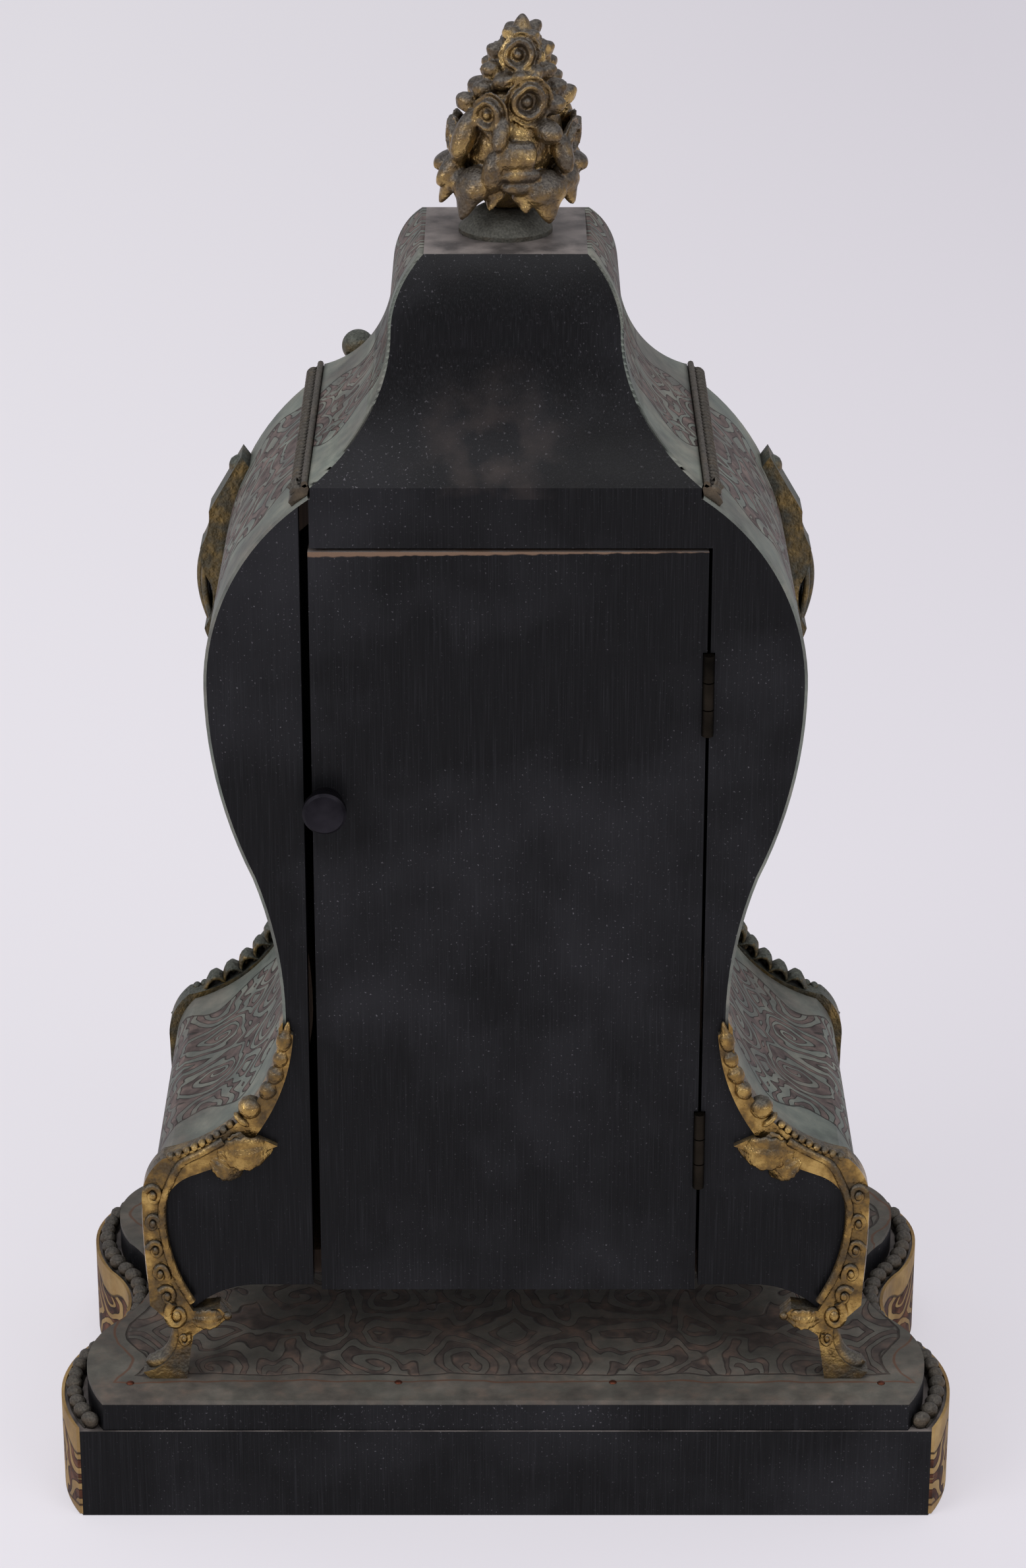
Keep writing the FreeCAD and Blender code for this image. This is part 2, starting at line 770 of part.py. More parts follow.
def hinge_leaves(side, edge, thirds):
    """One leaf of each butt hinge: a plate let into the wood, with knuckles at its thirds of the pin."""
    leaves = []
    plate_x = edge if side == "door" else f"{edge} - leaf_thickness"
    neck = f"({PIN_Y} - knuckle_radius - knuckle_gap)"
    depth = f"{neck} - {CASE_BACK} + leaf_width"
    length = "(hinge_length / 3 - knuckle_gap)"
    for which, foot in zip(("lower", "upper"), HINGE_FEET):
        name = f"{side}_{which}"
        root = f"{CASE_BACK} - leaf_width"
        pieces = [block(f"{name}_plate", plate_x, root, foot, "leaf_thickness", depth, "hinge_length")]
        for third in thirds:
            start = f"{foot} + hinge_length * {third} / 3 + knuckle_gap / 2"
            reach = f"{PIN_Y} - {neck}"
            pieces += [
                block(f"{name}_neck_{third}", plate_x, neck, start, "leaf_thickness", reach, length),
                rod(f"{name}_knuckle_{third}", PIN_X, PIN_Y, start, "knuckle_radius", length, "Z"),
            ]
        leaf = fuse(f"{name}_leaf", pieces)
        if side == "door":
            below, through = f"{foot} - cut_overrun", "hinge_length + 2 * cut_overrun"
            bore = rod(f"{name}_bore", PIN_X, PIN_Y, below, "pin_radius + running_clearance", through, "Z")
            leaf = cut(f"{name}_bored", leaf, bore)
        else:
            pin = rod(f"{name}_pin", PIN_X, PIN_Y, foot, "pin_radius", "hinge_length", "Z")
            leaf = fuse(f"{name}_pinned", [leaf, pin])
        leaves.append(leaf)
    keep(group(f"{side}_hinge_leaves", leaves), f"{side}_hinge_leaves")


def door_knob():
    """A flat turned knob whose stem passes the door and carries the latch tongue inside."""
    inner_end = "(-back_board - latch_gap)"
    head = "knob_stem_length + knob_thickness"
    outline = [
        ("0", inner_end),
        ("knob_stem_radius", inner_end),
        ("knob_stem_radius", "running_clearance"),
        ("knob_washer_radius", "running_clearance"),
        ("knob_washer_radius", "knob_washer_thickness"),
        ("knob_stem_radius", "knob_washer_thickness"),
        ("knob_stem_radius", "knob_stem_length"),
        ("knob_radius", "knob_stem_length"),
        ("knob_radius", f"{head} - knob_washer_thickness"),
        ("knob_radius - knob_washer_thickness", head),
        ("0", head),
    ]
    knob = turned("door_knob", outline, "knob_place", CASE_BACK, "knob_height")
    keep(knob, "door_knob")
    tongue = block(
        "latch_tongue", "knob_place - latch_width / 2", f"{INSIDE_BACK} - latch_gap - latch_thickness",
        "knob_height - latch_width / 2", "latch_width", "latch_thickness", "latch_width / 2 + latch_length",
    )
    keep(tongue, "latch_tongue")


RIDGE_DROP_SHARE, RIDGE_RISE_SHARE = 0.45, 0.58
RIDGE_OUT_SHARE, RIDGE_UP_SHARE = 0.62, 0.78
CROWN_OUT_SHARE = 1.4
HOLLOW_RISE = "(cap_neck_rise - cap_foot_rise)"
CAP_ACROSS = ("cap_base_half", "cap_neck_half", "cap_top_half")
CAP_ALONG = ("case_depth / 2", "cap_neck_depth", "cap_top_depth")


def hollow_radius(base, neck):
    return square_arc(f"{base} - {neck}", HOLLOW_RISE)


def ogee(base, neck, top, proud="0"):
    """Right half of the cap's outline over its foot: a hollow and a round shoulder."""
    radius = hollow_radius(base, neck)
    out = f"{proud} * ({neck} + {radius} - {base}) / ({radius})"
    foot = (f"{base} + {out}", f"cap_foot_rise + {proud} * {HOLLOW_RISE} / ({radius})")
    waist = (f"{neck} + {proud}", "cap_neck_rise")
    crown = (f"{top} + {proud} * {CROWN_OUT_SHARE}", "cap_height")
    return [
        foot,
        waist + (f"{radius} - {proud}", RIGHT),
        crown + (between(waist, crown), LEFT),
    ]


def cap_prism(label, outline, plane, start, length):
    body = new_body(label)
    pad(body, new_sketch(body, "outline", plane, [outline], lift=start), length)
    return place(body, y=CASE_MIDDLE, z="shoulder_height")


def cap():
    """A crown hollowed on four sides: where a profile along the case meets one across it."""
    reach = "case_depth / 2"
    front = [("0", "0"), (CAP_ACROSS[0], "0")] + ogee(*CAP_ACROSS) + [("0", "cap_height")]
    side = [("0", "0"), (CAP_ALONG[0], "0")] + ogee(*CAP_ALONG) + [("0", "cap_height")]
    run = cap_prism("cap_run", both_sides(front), "XZ_Plane", f"-{reach}", "case_depth")
    width = "cap_base_half + ridge_width"
    ends = cap_prism("cap_ends", both_sides(side), "YZ_Plane", f"-({width})", f"2 * ({width})")
    keep(common("cap_body", run, ends), "cap_body")
    skin = ogee(*CAP_ACROSS, proud="veneer") + reverse(ogee(*CAP_ACROSS))
    for label, turn in (("left", list), ("right", flip)):
        sheet_run = cap_prism(f"cap_skin_{label}", turn(skin), "XZ_Plane", f"-{reach}", "case_depth")
        keep(common(f"cap_veneer_{label}", sheet_run, ends), f"cap_veneer_{label}")


def ridge_mouldings():
    """Cast strips that hide the joint between the shoulders and the cap."""
    skin = profile_points("(-veneer)")["shoulder"]
    low_z = f"shoulder_height - ridge_width * {RIDGE_DROP_SHARE}"
    low = (across_at(f"({low_z})", "(-veneer)", "belly", "shoulder"), low_z)
    high = ("cap_base_half + fit_clearance", f"shoulder_height + ridge_width * {RIDGE_RISE_SHARE}")

    def lifted(spot):
        x, z = spot
        return (f"{x} + ridge_proud * {RIDGE_OUT_SHARE}", f"{z} + ridge_proud * {RIDGE_UP_SHARE}")

    outline = [
        low + (shoulder_radius("(-veneer)"), RIGHT),
        lifted(low),
        lifted(high) + ("2 * ridge_width", LEFT),
        high,
        skin,
    ]
    length = "case_depth - 2 * ridge_inset"
    for label, turn in (("left", list), ("right", flip)):
        board(f"ridge_moulding_{label}", turn(outline), f"{CASE_BACK} - ridge_inset", length)


def corner_ball():
    """The one ball left near the cap's front corner, where it touches the front hollow."""
    ball = doc.addObject("Part::Sphere", "corner_ball")
    bind(ball, Radius="stud_radius")
    radius = hollow_radius(*CAP_ALONG[:2])
    drop = "(cap_neck_rise + shoulder_height - stud_height)"
    out = f"{CAP_ALONG[1]} + {radius} - sqrt(({radius} - stud_radius)^2 - {drop}^2)"
    place(ball, "stud_place", f"{CASE_MIDDLE} - ({out})", "stud_height")
    keep(ball, "corner_ball")


# Finial: a bouquet whose blossoms stand in tiers of (count, height, root, outward and mouth shares)
BLOSSOM_SHARES = ((5, 0.36, 0.30, 0.95, 0.36), (3, 0.66, 0.24, 0.66, 0.32))
BLOSSOM_ROOT_SHARE, BLOSSOM_TILT_SHARE = 0.2, 0.25
PETALS = 6
CORE_SHARES = ((0.3, 0.55), (0.6, 0.48), (0.9, 0.3), (1.0, 0.1))
LEAF_COUNT = 6
LEAF_SHARES = {"root": (0.3, 0.22), "tip": (0.9, 0.03), "width": 0.26, "point": 0.05}


def finial():
    foot = [
        ("0", "0"),
        ("finial_foot_radius", "0"),
        ("finial_foot_radius", "finial_foot_height / 6"),
        ("finial_neck_radius", "finial_foot_height", "finial_foot_radius", LEFT),
        ("0", "finial_foot_height"),
    ]
    base = turned("finial_foot", foot, "0", CASE_MIDDLE, "cap_top_height", "XZ_Plane")
    keep(base, "finial_foot")
    reach, height = value("finial_radius"), value("finial_height - finial_foot_height")
    bottom = Vector(0, value(CASE_MIDDLE), value("cap_top_height + finial_foot_height"))
    rings = [(0, value("finial_neck_radius"))]
    rings += [(height * high, reach * wide) for high, wide in CORE_SHARES]
    pieces = [faceted(rings, PETALS).translated(bottom)]

    def add_flower(root, axis, root_share, mouth_share):
        flower = faceted([(0, reach * root_share), (axis.Length, reach * mouth_share)], PETALS)
        flower.Placement = Placement(root, Rotation(Vector(0, 0, 1), axis))
        pieces.append(flower)

    for tier, (count, level, inner, outer, mouth) in enumerate(BLOSSOM_SHARES):
        for number in range(count):
            angle = 2 * math.pi * (number + tier / 2) / count
            out = Vector(math.cos(angle), math.sin(angle), BLOSSOM_TILT_SHARE) * reach
            root = bottom + out * inner + Vector(0, 0, height * level)
            add_flower(root, out * (outer - inner), BLOSSOM_ROOT_SHARE, mouth)
    (near, high), (far, low) = LEAF_SHARES["root"], LEAF_SHARES["tip"]
    for number in range(LEAF_COUNT):
        angle = 2 * math.pi * (number + LEAF_SHARES["width"]) / LEAF_COUNT
        out = Vector(math.cos(angle), math.sin(angle), 0) * reach
        root = bottom + out * near + Vector(0, 0, height * high)
        tip = bottom + out * far + Vector(0, 0, height * low)
        add_flower(root, tip - root, LEAF_SHARES["width"], LEAF_SHARES["point"])
    formed("finial_bouquet", pieces[0].fuse(pieces[1:]))


# Cast corner mounts, as shares of the sizes they follow
LEAF_FOOT_SHARE, SHIN_SHARE = 0.8, 0.6


def leg_outlines():
    """Right-hand leg seen from behind: the part round the corner, and the part on the face."""
    skin = profile_points("(-veneer)")
    wood = profile_points("0")
    tip = ("waist_half + mount_tip_proud", "waist_height - mount_tip_proud")
    brow = ("brow_half + mount_brow_proud", "brow_height + mount_brow_proud")
    knee = ("knee_half + mount_knee_proud", "knee_height + mount_tip_proud")
    shin = (f"knee_half + mount_knee_proud * {SHIN_SHARE}", "corner_height + mount_tip_proud")
    outer = [
        tip,
        brow + (between(tip, brow), LEFT),
        knee + (between(knee, brow), RIGHT),
        shin,
        ("ankle_half", "ankle_height"),
        ("toe_half", f"{PLINTH_TOP} + mount_brow_proud", "toe_half - heel_half", LEFT),
        ("toe_half - mount_tip_proud", PLINTH_TOP),
        ("heel_half", PLINTH_TOP),
        ("heel_half - mount_brow_proud", "ankle_height - mount_brow_proud"),
        ("scroll_half", "scroll_height", "scroll_height - heel_half / 3", LEFT),
        ("scroll_half + mount_knee_proud", "scroll_height + mount_knee_proud"),
    ]
    round_corner = outer + [
        skin["corner"],
        skin["knee"] + (between(skin["knee"], skin["corner"]), LEFT),
        skin["brow"] + (between(skin["knee"], skin["brow"]), LEFT),
        skin["waist"] + (between(skin["waist"], skin["brow"]), RIGHT),
    ]
    inset = "mount_knee_proud"
    on_face = outer + [
        (wood["corner"][0], wood["corner"][1]),
        (f"knee_half - {inset}", "knee_height", f"{between(wood['knee'], wood['corner'])}", LEFT),
        (f"brow_half - 2 * {inset}", f"brow_height - {inset}", "brow_height - knee_height", LEFT),
        (f"waist_half + 4 * {inset}", f"brow_height + {inset} * {LEAF_FOOT_SHARE}"),
        (f"waist_half + {inset}", f"brow_height + 2 * {inset}"),
        (f"waist_half + 3 * {inset}", f"brow_height + 3 * {inset}"),
        ("waist_half - mount_tip_proud", "waist_height - 2 * mount_tip_proud", "waist_half", RIGHT),
    ]
    return round_corner, on_face


def leg_mounts():
    round_corner, on_face = leg_outlines()
    depth = "mount_wrap + mount_face"
    for side, turn in (("left", list), ("right", flip)):
        for end, back, lift in (
            ("rear", f"{CASE_BACK} + mount_face", "0"),
            ("front", f"{CASE_FRONT} + mount_wrap", "mount_wrap"),
        ):
            label = f"{end}_leg_mount_{side}"
            body = new_body(label)
            pad(body, new_sketch(body, "corner", "XZ_Plane", [turn(round_corner)]), depth)
            pad(body, new_sketch(body, "face", "XZ_Plane", [turn(on_face)], lift=lift), "mount_face")
            keep(place(body, y=back), label)


SHOULDER_CURL_SHARE = 0.3
SHOULDER_MOUNT_SHARES = ((0.2, 1.0), (0.42, 0.55), (0.60, 0.95), (0.78, 0.85))


def shoulder_mounts():
    """Leaf scrolls that stand off the upper sides near the front."""
    foot = ("shoulder_mount_foot", "bend", "belly")
    head = ("shoulder_mount_head", "belly", "shoulder")
    low = (across_at(foot[0], "(-veneer)", *foot[1:]), foot[0])
    high = (across_at(head[0], "(-veneer)", *head[1:]), head[0])
    span = "(shoulder_mount_head - shoulder_mount_foot)"
    outer = [low]
    for number, (rise, proud) in enumerate(SHOULDER_MOUNT_SHARES):
        height = f"(shoulder_mount_foot + {span} * {rise})"
        ends = foot[1:] if value(height) < value("belly_height") else head[1:]
        spot = (f"{across_at(height, '(-veneer)', *ends)} + shoulder_mount_proud * {proud}", height)
        curl = f"{span} * {SHOULDER_CURL_SHARE}"
        outer.append(spot + (curl, LEFT if number % 2 == 0 else RIGHT))
    outer.append((f"{high[0]} + mount_brow_proud", f"{high[1]} + mount_knee_proud"))
    belly = profile_points("(-veneer)")["belly"]
    inner = [
        high,
        belly + (shoulder_radius("(-veneer)"), RIGHT),
    ]
    closing = between(belly, profile_points("(-veneer)")["bend"])
    outline = [low + (closing, RIGHT)] + outer[1:] + inner
    back = f"{CASE_FRONT} + shoulder_mount_setback + shoulder_mount_depth"
    for label, turn in (("left", list), ("right", flip)):
        board(f"shoulder_mount_{label}", turn(outline), back, "shoulder_mount_depth")


# Front: dial, bezel and hands
DIAL_FACE = f"({CASE_FRONT} - dial_thickness)"
BEZEL_BACK = f"({DIAL_FACE} - bezel_gap)"
BEZEL_PIN_X = "(-bezel_outer - bezel_pin_reach)"
BEZEL_PIN_Y = f"({BEZEL_BACK} - bezel_pin_rise)"
HOUR_HAND_FRONT = f"({DIAL_FACE} - hand_gap - hand_thickness)"
MINUTE_HAND_FRONT = f"({HOUR_HAND_FRONT} - hand_gap - hand_thickness)"


def disc(label, back, thickness, circles):
    """A flat plate from its back face forwards; the first circle is its edge, the others holes."""
    body = new_body(label)
    pad(body, new_sketch(body, "circles", "XZ_Plane", circles=circles), thickness)
    return place(body, y=back)


def dial_and_bezel():
    holes = [
        ("0", "dial_height", "dial_radius"),
        ("0", "dial_height", "dial_centre_radius"),
        ("0", "dial_height - barrel_drop", "winding_hole_radius"),
    ]
    keep(disc("dial_plate", CASE_FRONT, "dial_thickness", holes), "dial_plate")
    seat, seat_radius = "glass_recess - bezel_depth", "bezel_inner + glass_lap + fit_clearance"
    ring = [
        (seat_radius, "0"),
        ("bezel_outer", "0"),
        ("bezel_outer", "-bezel_shoulder"),
        ("(bezel_inner + bezel_lip + bezel_outer) / 2", "-(bezel_depth + bezel_shoulder) * 2 / 3"),
        ("bezel_inner + bezel_lip", "-bezel_depth"),
        ("bezel_inner", "-bezel_depth"),
        ("bezel_inner", seat),
        (seat_radius, seat),
    ]
    rim = turned("bezel_ring", ring, "0", BEZEL_BACK, "dial_height")
    lug_foot = "dial_height - bezel_lug_length / 2"
    lug = rod("bezel_lug", BEZEL_PIN_X, BEZEL_PIN_Y, lug_foot, "bezel_lug_radius", "bezel_lug_length", "Z")
    web = block(
        "bezel_web", BEZEL_PIN_X, f"{BEZEL_PIN_Y} - pin_radius", lug_foot,
        "bezel_pin_reach + bezel_lip", "2 * pin_radius", "bezel_lug_length",
    )
    bore = rod(
        "bezel_bore", BEZEL_PIN_X, BEZEL_PIN_Y, f"{lug_foot} - cut_overrun",
        "pin_radius + running_clearance", "bezel_lug_length + 2 * cut_overrun", "Z",
    )
    bezel = cut("bezel", fuse("bezel_with_lug", [rim, lug, web]), bore)
    keep(bezel, "bezel")
    pane = ("0", "dial_height", "bezel_inner + glass_lap")
    glass_back = f"{BEZEL_BACK} + {seat} + glass_thickness"
    keep(disc("bezel_glass", glass_back, "glass_thickness", [pane]), "bezel_glass")
    # Fixed half of the bezel's hinge: a foot on the front board, two ears and the pin
    half = "(bezel_lug_length / 2 + bezel_ear_gap + bezel_ear_length)"
    foot_x, foot_y = f"{BEZEL_PIN_X} - bezel_foot_reach", f"{CASE_FRONT} - bezel_foot_thickness"
    foot_size = ("2 * bezel_foot_reach - fit_clearance", "bezel_foot_thickness", f"2 * {half}")
    bottom = f"dial_height - {half}"
    pieces = [
        block("bezel_hinge_foot", foot_x, foot_y, bottom, *foot_size),
        rod("bezel_pin", BEZEL_PIN_X, BEZEL_PIN_Y, bottom, "pin_radius", f"2 * {half}", "Z"),
    ]
    upper_ear = f"dial_height + {half} - bezel_ear_length"
    for which, foot in (("lower", bottom), ("upper", upper_ear)):
        radius = "bezel_lug_radius"
        pieces += [
            rod(f"{which}_ear", BEZEL_PIN_X, BEZEL_PIN_Y, foot, radius, "bezel_ear_length", "Z"),
            block(f"{which}_ear_web", f"{BEZEL_PIN_X} - {radius} / 2", BEZEL_PIN_Y, foot,
                  radius, f"{CASE_FRONT} - {BEZEL_PIN_Y}", "bezel_ear_length"),
        ]
    keep(fuse("bezel_hinge", pieces), "bezel_hinge")


# Hands at ten past ten, in degrees from twelve
MINUTE_HAND_ANGLE, HOUR_HAND_ANGLE = 60, 305
BLADE_SHARES = ((0.35, 0.3), (0.62, 1.0), (0.78, 0.3))


def hand(label, front, bore, length, angle):
    """A flat hand with a pierced-leaf outline on a round boss."""
    body = new_body(label)
    pad(body, new_sketch(body, "boss", "XZ_Plane", circles=[("0", "0", "hand_boss")]), "hand_thickness")
    half = [("0", "0")]
    half += [(f"hand_width / 2 * {wide}", f"{length} * {along}") for along, wide in BLADE_SHARES]
    half.insert(1, (f"hand_width / 2 * {BLADE_SHARES[0][1]}", "0"))
    half.append(("0", length))
    pad(body, new_sketch(body, "blade", "XZ_Plane", [both_sides(half)]), "hand_thickness")
    pocket(body, new_sketch(body, "bore", "XZ_Plane", circles=[("0", "0", bore)]), "hand_thickness")
    body.Placement = Placement(Vector(), Rotation(Vector(0, 1, 0), angle))
    keep(place(body, y=f"{front} + hand_thickness", z="dial_height"), label)


# Movement: levels run from the dial towards the back, arbors stand square to the plates
FRONT_FACE = f"({CASE_FRONT} + dial_space)"
FRONT_INNER = f"({FRONT_FACE} + plate_gauge)"
BACK_INNER = f"({FRONT_INNER} + plate_space)"
BACK_FACE = f"({BACK_INNER} + plate_gauge)"
CENTRE_LEVEL = f"({FRONT_INNER} + level_gap)"
GREAT_LEVEL = f"({CENTRE_LEVEL} + wheel_thickness + level_gap)"
THIRD_LEVEL = f"({FRONT_INNER} + third_level)"
ESCAPE_LEVEL = f"({FRONT_INNER} + escape_level)"
SECOND_LEVEL = f"({BACK_INNER} - level_gap - wheel_thickness)"
MINUTE_LEVEL = f"({FRONT_FACE} - motion_gap - motion_thickness)"
HOUR_LEVEL = f"({MINUTE_LEVEL} - motion_step - motion_thickness)"
RATCHET_LEVEL = f"({FRONT_FACE} - ratchet_gap - ratchet_thickness)"

POWER_REACH = f"(power_module * {GREAT_TEETH + SECOND_LEAVES} / 2)"
SECOND_REACH = f"(second_module * {SECOND_TEETH + CENTRE_LEAVES} / 2)"
THIRD_REACH = f"(time_module * {CENTRE_TEETH + THIRD_LEAVES} / 2)"
ESCAPE_REACH = f"(time_module * {THIRD_TEETH + ESCAPE_LEAVES} / 2)"
MOTION_REACH = f"(motion_module * {CANNON_TEETH + MINUTE_TEETH} / 2)"
HOUR_MODULE = f"({MOTION_REACH} * 2 / {MINUTE_LEAVES + HOUR_TEETH})"
SECOND_FALL = f"(({SECOND_REACH}^2 - {POWER_REACH}^2 + barrel_drop^2) / (2 * barrel_drop))"
THIRD_RISE = f"(({THIRD_REACH}^2 - {ESCAPE_REACH}^2 + escape_rise^2) / (2 * escape_rise))"
PALLET_HALF = 180 * PALLET_SPAN / ESCAPE_TEETH
ANCHOR_RISE = f"(escape_radius / cos({PALLET_HALF}))"
ARBORS = {
    "centre": ("0", "dial_height"),
    "winding": ("0", "(dial_height - barrel_drop)"),
    "second": (f"sqrt({SECOND_REACH}^2 - {SECOND_FALL}^2)", f"(dial_height - {SECOND_FALL})"),
    "third": (f"(-sqrt({THIRD_REACH}^2 - {THIRD_RISE}^2))", f"(dial_height + {THIRD_RISE})"),
    "escape": ("0", "(dial_height + escape_rise)"),
    "anchor": ("0", f"(dial_height + escape_rise + {ANCHOR_RISE})"),
    "minute": (f"({MOTION_REACH} / sqrt(2))", f"(dial_height + {MOTION_REACH} / sqrt(2))"),
}
PLATE_PILLAR_ANGLES = (35, 145, 235, 305)
DIAL_PILLAR_ANGLES = (45, 135, 225, 315)


def pillars(label, front, length, radius, circle, angles):
    stand = []
    for number, angle in enumerate(angles):
        x, z = f"{circle} * cos({angle})", f"dial_height + {circle} * sin({angle})"
        stand.append(rod(f"{label}_{number}", x, front, z, radius, length))
    keep(group(label, stand), label)


def plates():
    pivot = "pivot_radius + running_clearance"
    pivots = [ARBORS[name] + (pivot,) for name in ("second", "third", "escape")]
    edge = ARBORS["centre"] + ("plate_radius",)
    front_holes = pivots + [
        ARBORS["anchor"] + (pivot,),
        ARBORS["centre"] + ("thick_arbor + running_clearance",),
        ARBORS["winding"] + ("winding_arbor_radius + running_clearance",),
    ]
    front = disc("front_plate_disc", FRONT_INNER, "plate_gauge", [edge] + front_holes)
    x, z = ARBORS["minute"]
    post_front = f"{HOUR_LEVEL} - pinion_overhang - end_shake"
    post = rod("minute_post", x, post_front, z, "stud_post_radius", f"{FRONT_FACE} - ({post_front})")
    keep(fuse("front_plate", [front, post]), "front_plate")
    back_holes = pivots + [
        ARBORS["anchor"] + ("anchor_hub",),
        ARBORS["centre"] + (pivot,),
        ARBORS["winding"] + ("winding_pivot + running_clearance",),
    ]
    keep(disc("back_plate", BACK_FACE, "plate_gauge", [edge] + back_holes), "back_plate")
    pillars(
        "plate_pillars", FRONT_INNER, "plate_space",
        "pillar_radius", "pillar_circle", PLATE_PILLAR_ANGLES,
    )
    pillars(
        "dial_pillars", CASE_FRONT, "dial_space",
        "dial_pillar_radius", "dial_pillar_circle", DIAL_PILLAR_ANGLES,
    )
    # The click that stops the ratchet from running back
    x, z = ARBORS["winding"]
    click = block(
        "click", f"{x} + ratchet_radius + click_clearance", RATCHET_LEVEL, f"{z} - click_length / 2",
        "click_width", f"{FRONT_FACE} - {RATCHET_LEVEL}", "click_length",
    )
    keep(click, "click")


# Teeth as shares of the pitch (root, half width) and of the module (depth, height)
WHEEL_TOOTH = {"root": 0.40, "deep": 1.25, "high": 0.9}
PINION_LEAF = {"root": 0.38, "deep": 1.2, "high": 0.7}
SAW_LEAN_SHARE = 0.75
ARMS = 4


def polar(radius, angle):
    """A point in the plane of the plates, its angle from +X towards +Z."""
    return Vector(radius * math.cos(angle), 0, radius * math.sin(angle))


def centre_of(name):
    x, z = ARBORS[name]
    return Vector(value(x), 0, value(z))


def prism(edges, start, thickness):
    """A closed outline in the plane of the plates, given its level and thickness."""
    face = Part.Face(Part.Wire(edges))
    return face.extrude(Vector(0, value(thickness), 0)).translated(Vector(0, value(start), 0))


def toothed(teeth, module, form, phase=0):
    pitch, size = 2 * math.pi / teeth, value(module)
    root = size * (teeth / 2 - form["deep"])
    tip = size * (teeth / 2 + form["high"])
    spots = []
    for number in range(teeth):
        middle = phase + number * pitch
        half = form["root"] * pitch
        spots += [polar(root, middle - half), polar(tip, middle), polar(root, middle + half)]
    return Part.makePolygon(spots + spots[:1]).Edges


def saw_toothed(teeth, radius, depth):
    pitch, tip = 2 * math.pi / teeth, value(radius)
    root = tip - value(depth)
    spots = []
    for number in range(teeth):
        spots += [polar(root, number * pitch), polar(tip, (number + SAW_LEAN_SHARE) * pitch)]
    return Part.makePolygon(spots + spots[:1]).Edges


def crossings(inner, outer, start, thickness):
    """The windows between a wheel's arms."""
    windows = []
    margins = [math.asin(value("spoke_width") / 2 / radius) for radius in (inner, outer)]
    for number in range(ARMS):
        first, last = (2 * math.pi * (number + end) / ARMS for end in (0, 1))
        arcs = []
        for radius, margin in zip((inner, outer), margins):
            ends = (first + margin, (first + last) / 2, last - margin)
            arcs.append(Part.Arc(*(polar(radius, angle) for angle in ends)).toShape())
        sides = [Part.makeLine(arcs[0].Vertexes[end].Point, arcs[1].Vertexes[end].Point) for end in (0, 1)]
        windows.append(prism(Part.__sortEdges__(arcs + sides), start, thickness))
    return windows


def cylinder(radius, start, end):
    low, high = value(start), value(end)
    return Part.makeCylinder(value(radius), high - low, Vector(0, low, 0), Vector(0, 1, 0))


def crossed_wheel(teeth, module, start, hub):
    """A wheel of the going train with its arms, round an arbor of the hub's radius."""
    rim = value(module) * (teeth / 2 - WHEEL_TOOTH["deep"]) - value("rim_width")
    windows = crossings(value(f"{hub} + hub_width"), rim, start, "wheel_thickness")
    return prism(toothed(teeth, module, WHEEL_TOOTH), start, "wheel_thickness").cut(windows)


def arbor(radius):
    """An arbor between the plates, with a pivot through each of them."""
    return [
        cylinder(radius, f"{FRONT_INNER} + end_shake", f"{BACK_INNER} - end_shake"),
        cylinder("pivot_radius", FRONT_FACE, BACK_FACE),
    ]


def mesh_phase(wheel_teeth, leaves, wheel, pinion):
    """Turn of a pinion whose leaves stand in the gaps of a wheel that has a tooth on +X."""
    line = centre_of(pinion) - centre_of(wheel)
    angle = math.atan2(line.z, line.x)
    share = angle / (2 * math.pi / wheel_teeth)
    return angle + math.pi - (0.5 - share) * 2 * math.pi / leaves


def pinion(leaves, module, phase, start, thickness):
    low = f"{start} - pinion_overhang"
    return prism(toothed(leaves, module, PINION_LEAF, phase), low, f"{thickness} + 2 * pinion_overhang")


def set_in(label, name, pieces, bore=None):
    """Joins a wheel's pieces and stands them on their arbor's place."""
    shape = pieces[0].fuse(pieces[1:])
    if bore:
        shape = shape.cut(bore)
    formed(label, shape.translated(centre_of(name)))


SPRING_HALF_TURNS = 6


def spiral(radius, pitch):
    """Half circles that grow by half the pitch each time, and the two ends of the row."""
    count = SPRING_HALF_TURNS + 1
    spots = [Vector((-1) ** k * (radius + k * pitch / 2), 0, 0) for k in range(count)]
    arcs = []
    for number, (first, last) in enumerate(zip(spots, spots[1:])):
        rise = Vector(0, 0, (-1) ** number * (last - first).Length / 2)
        arcs.append(Part.Arc(first, (first + last) / 2 + rise, last).toShape())
    return arcs, spots[0], spots[-1]


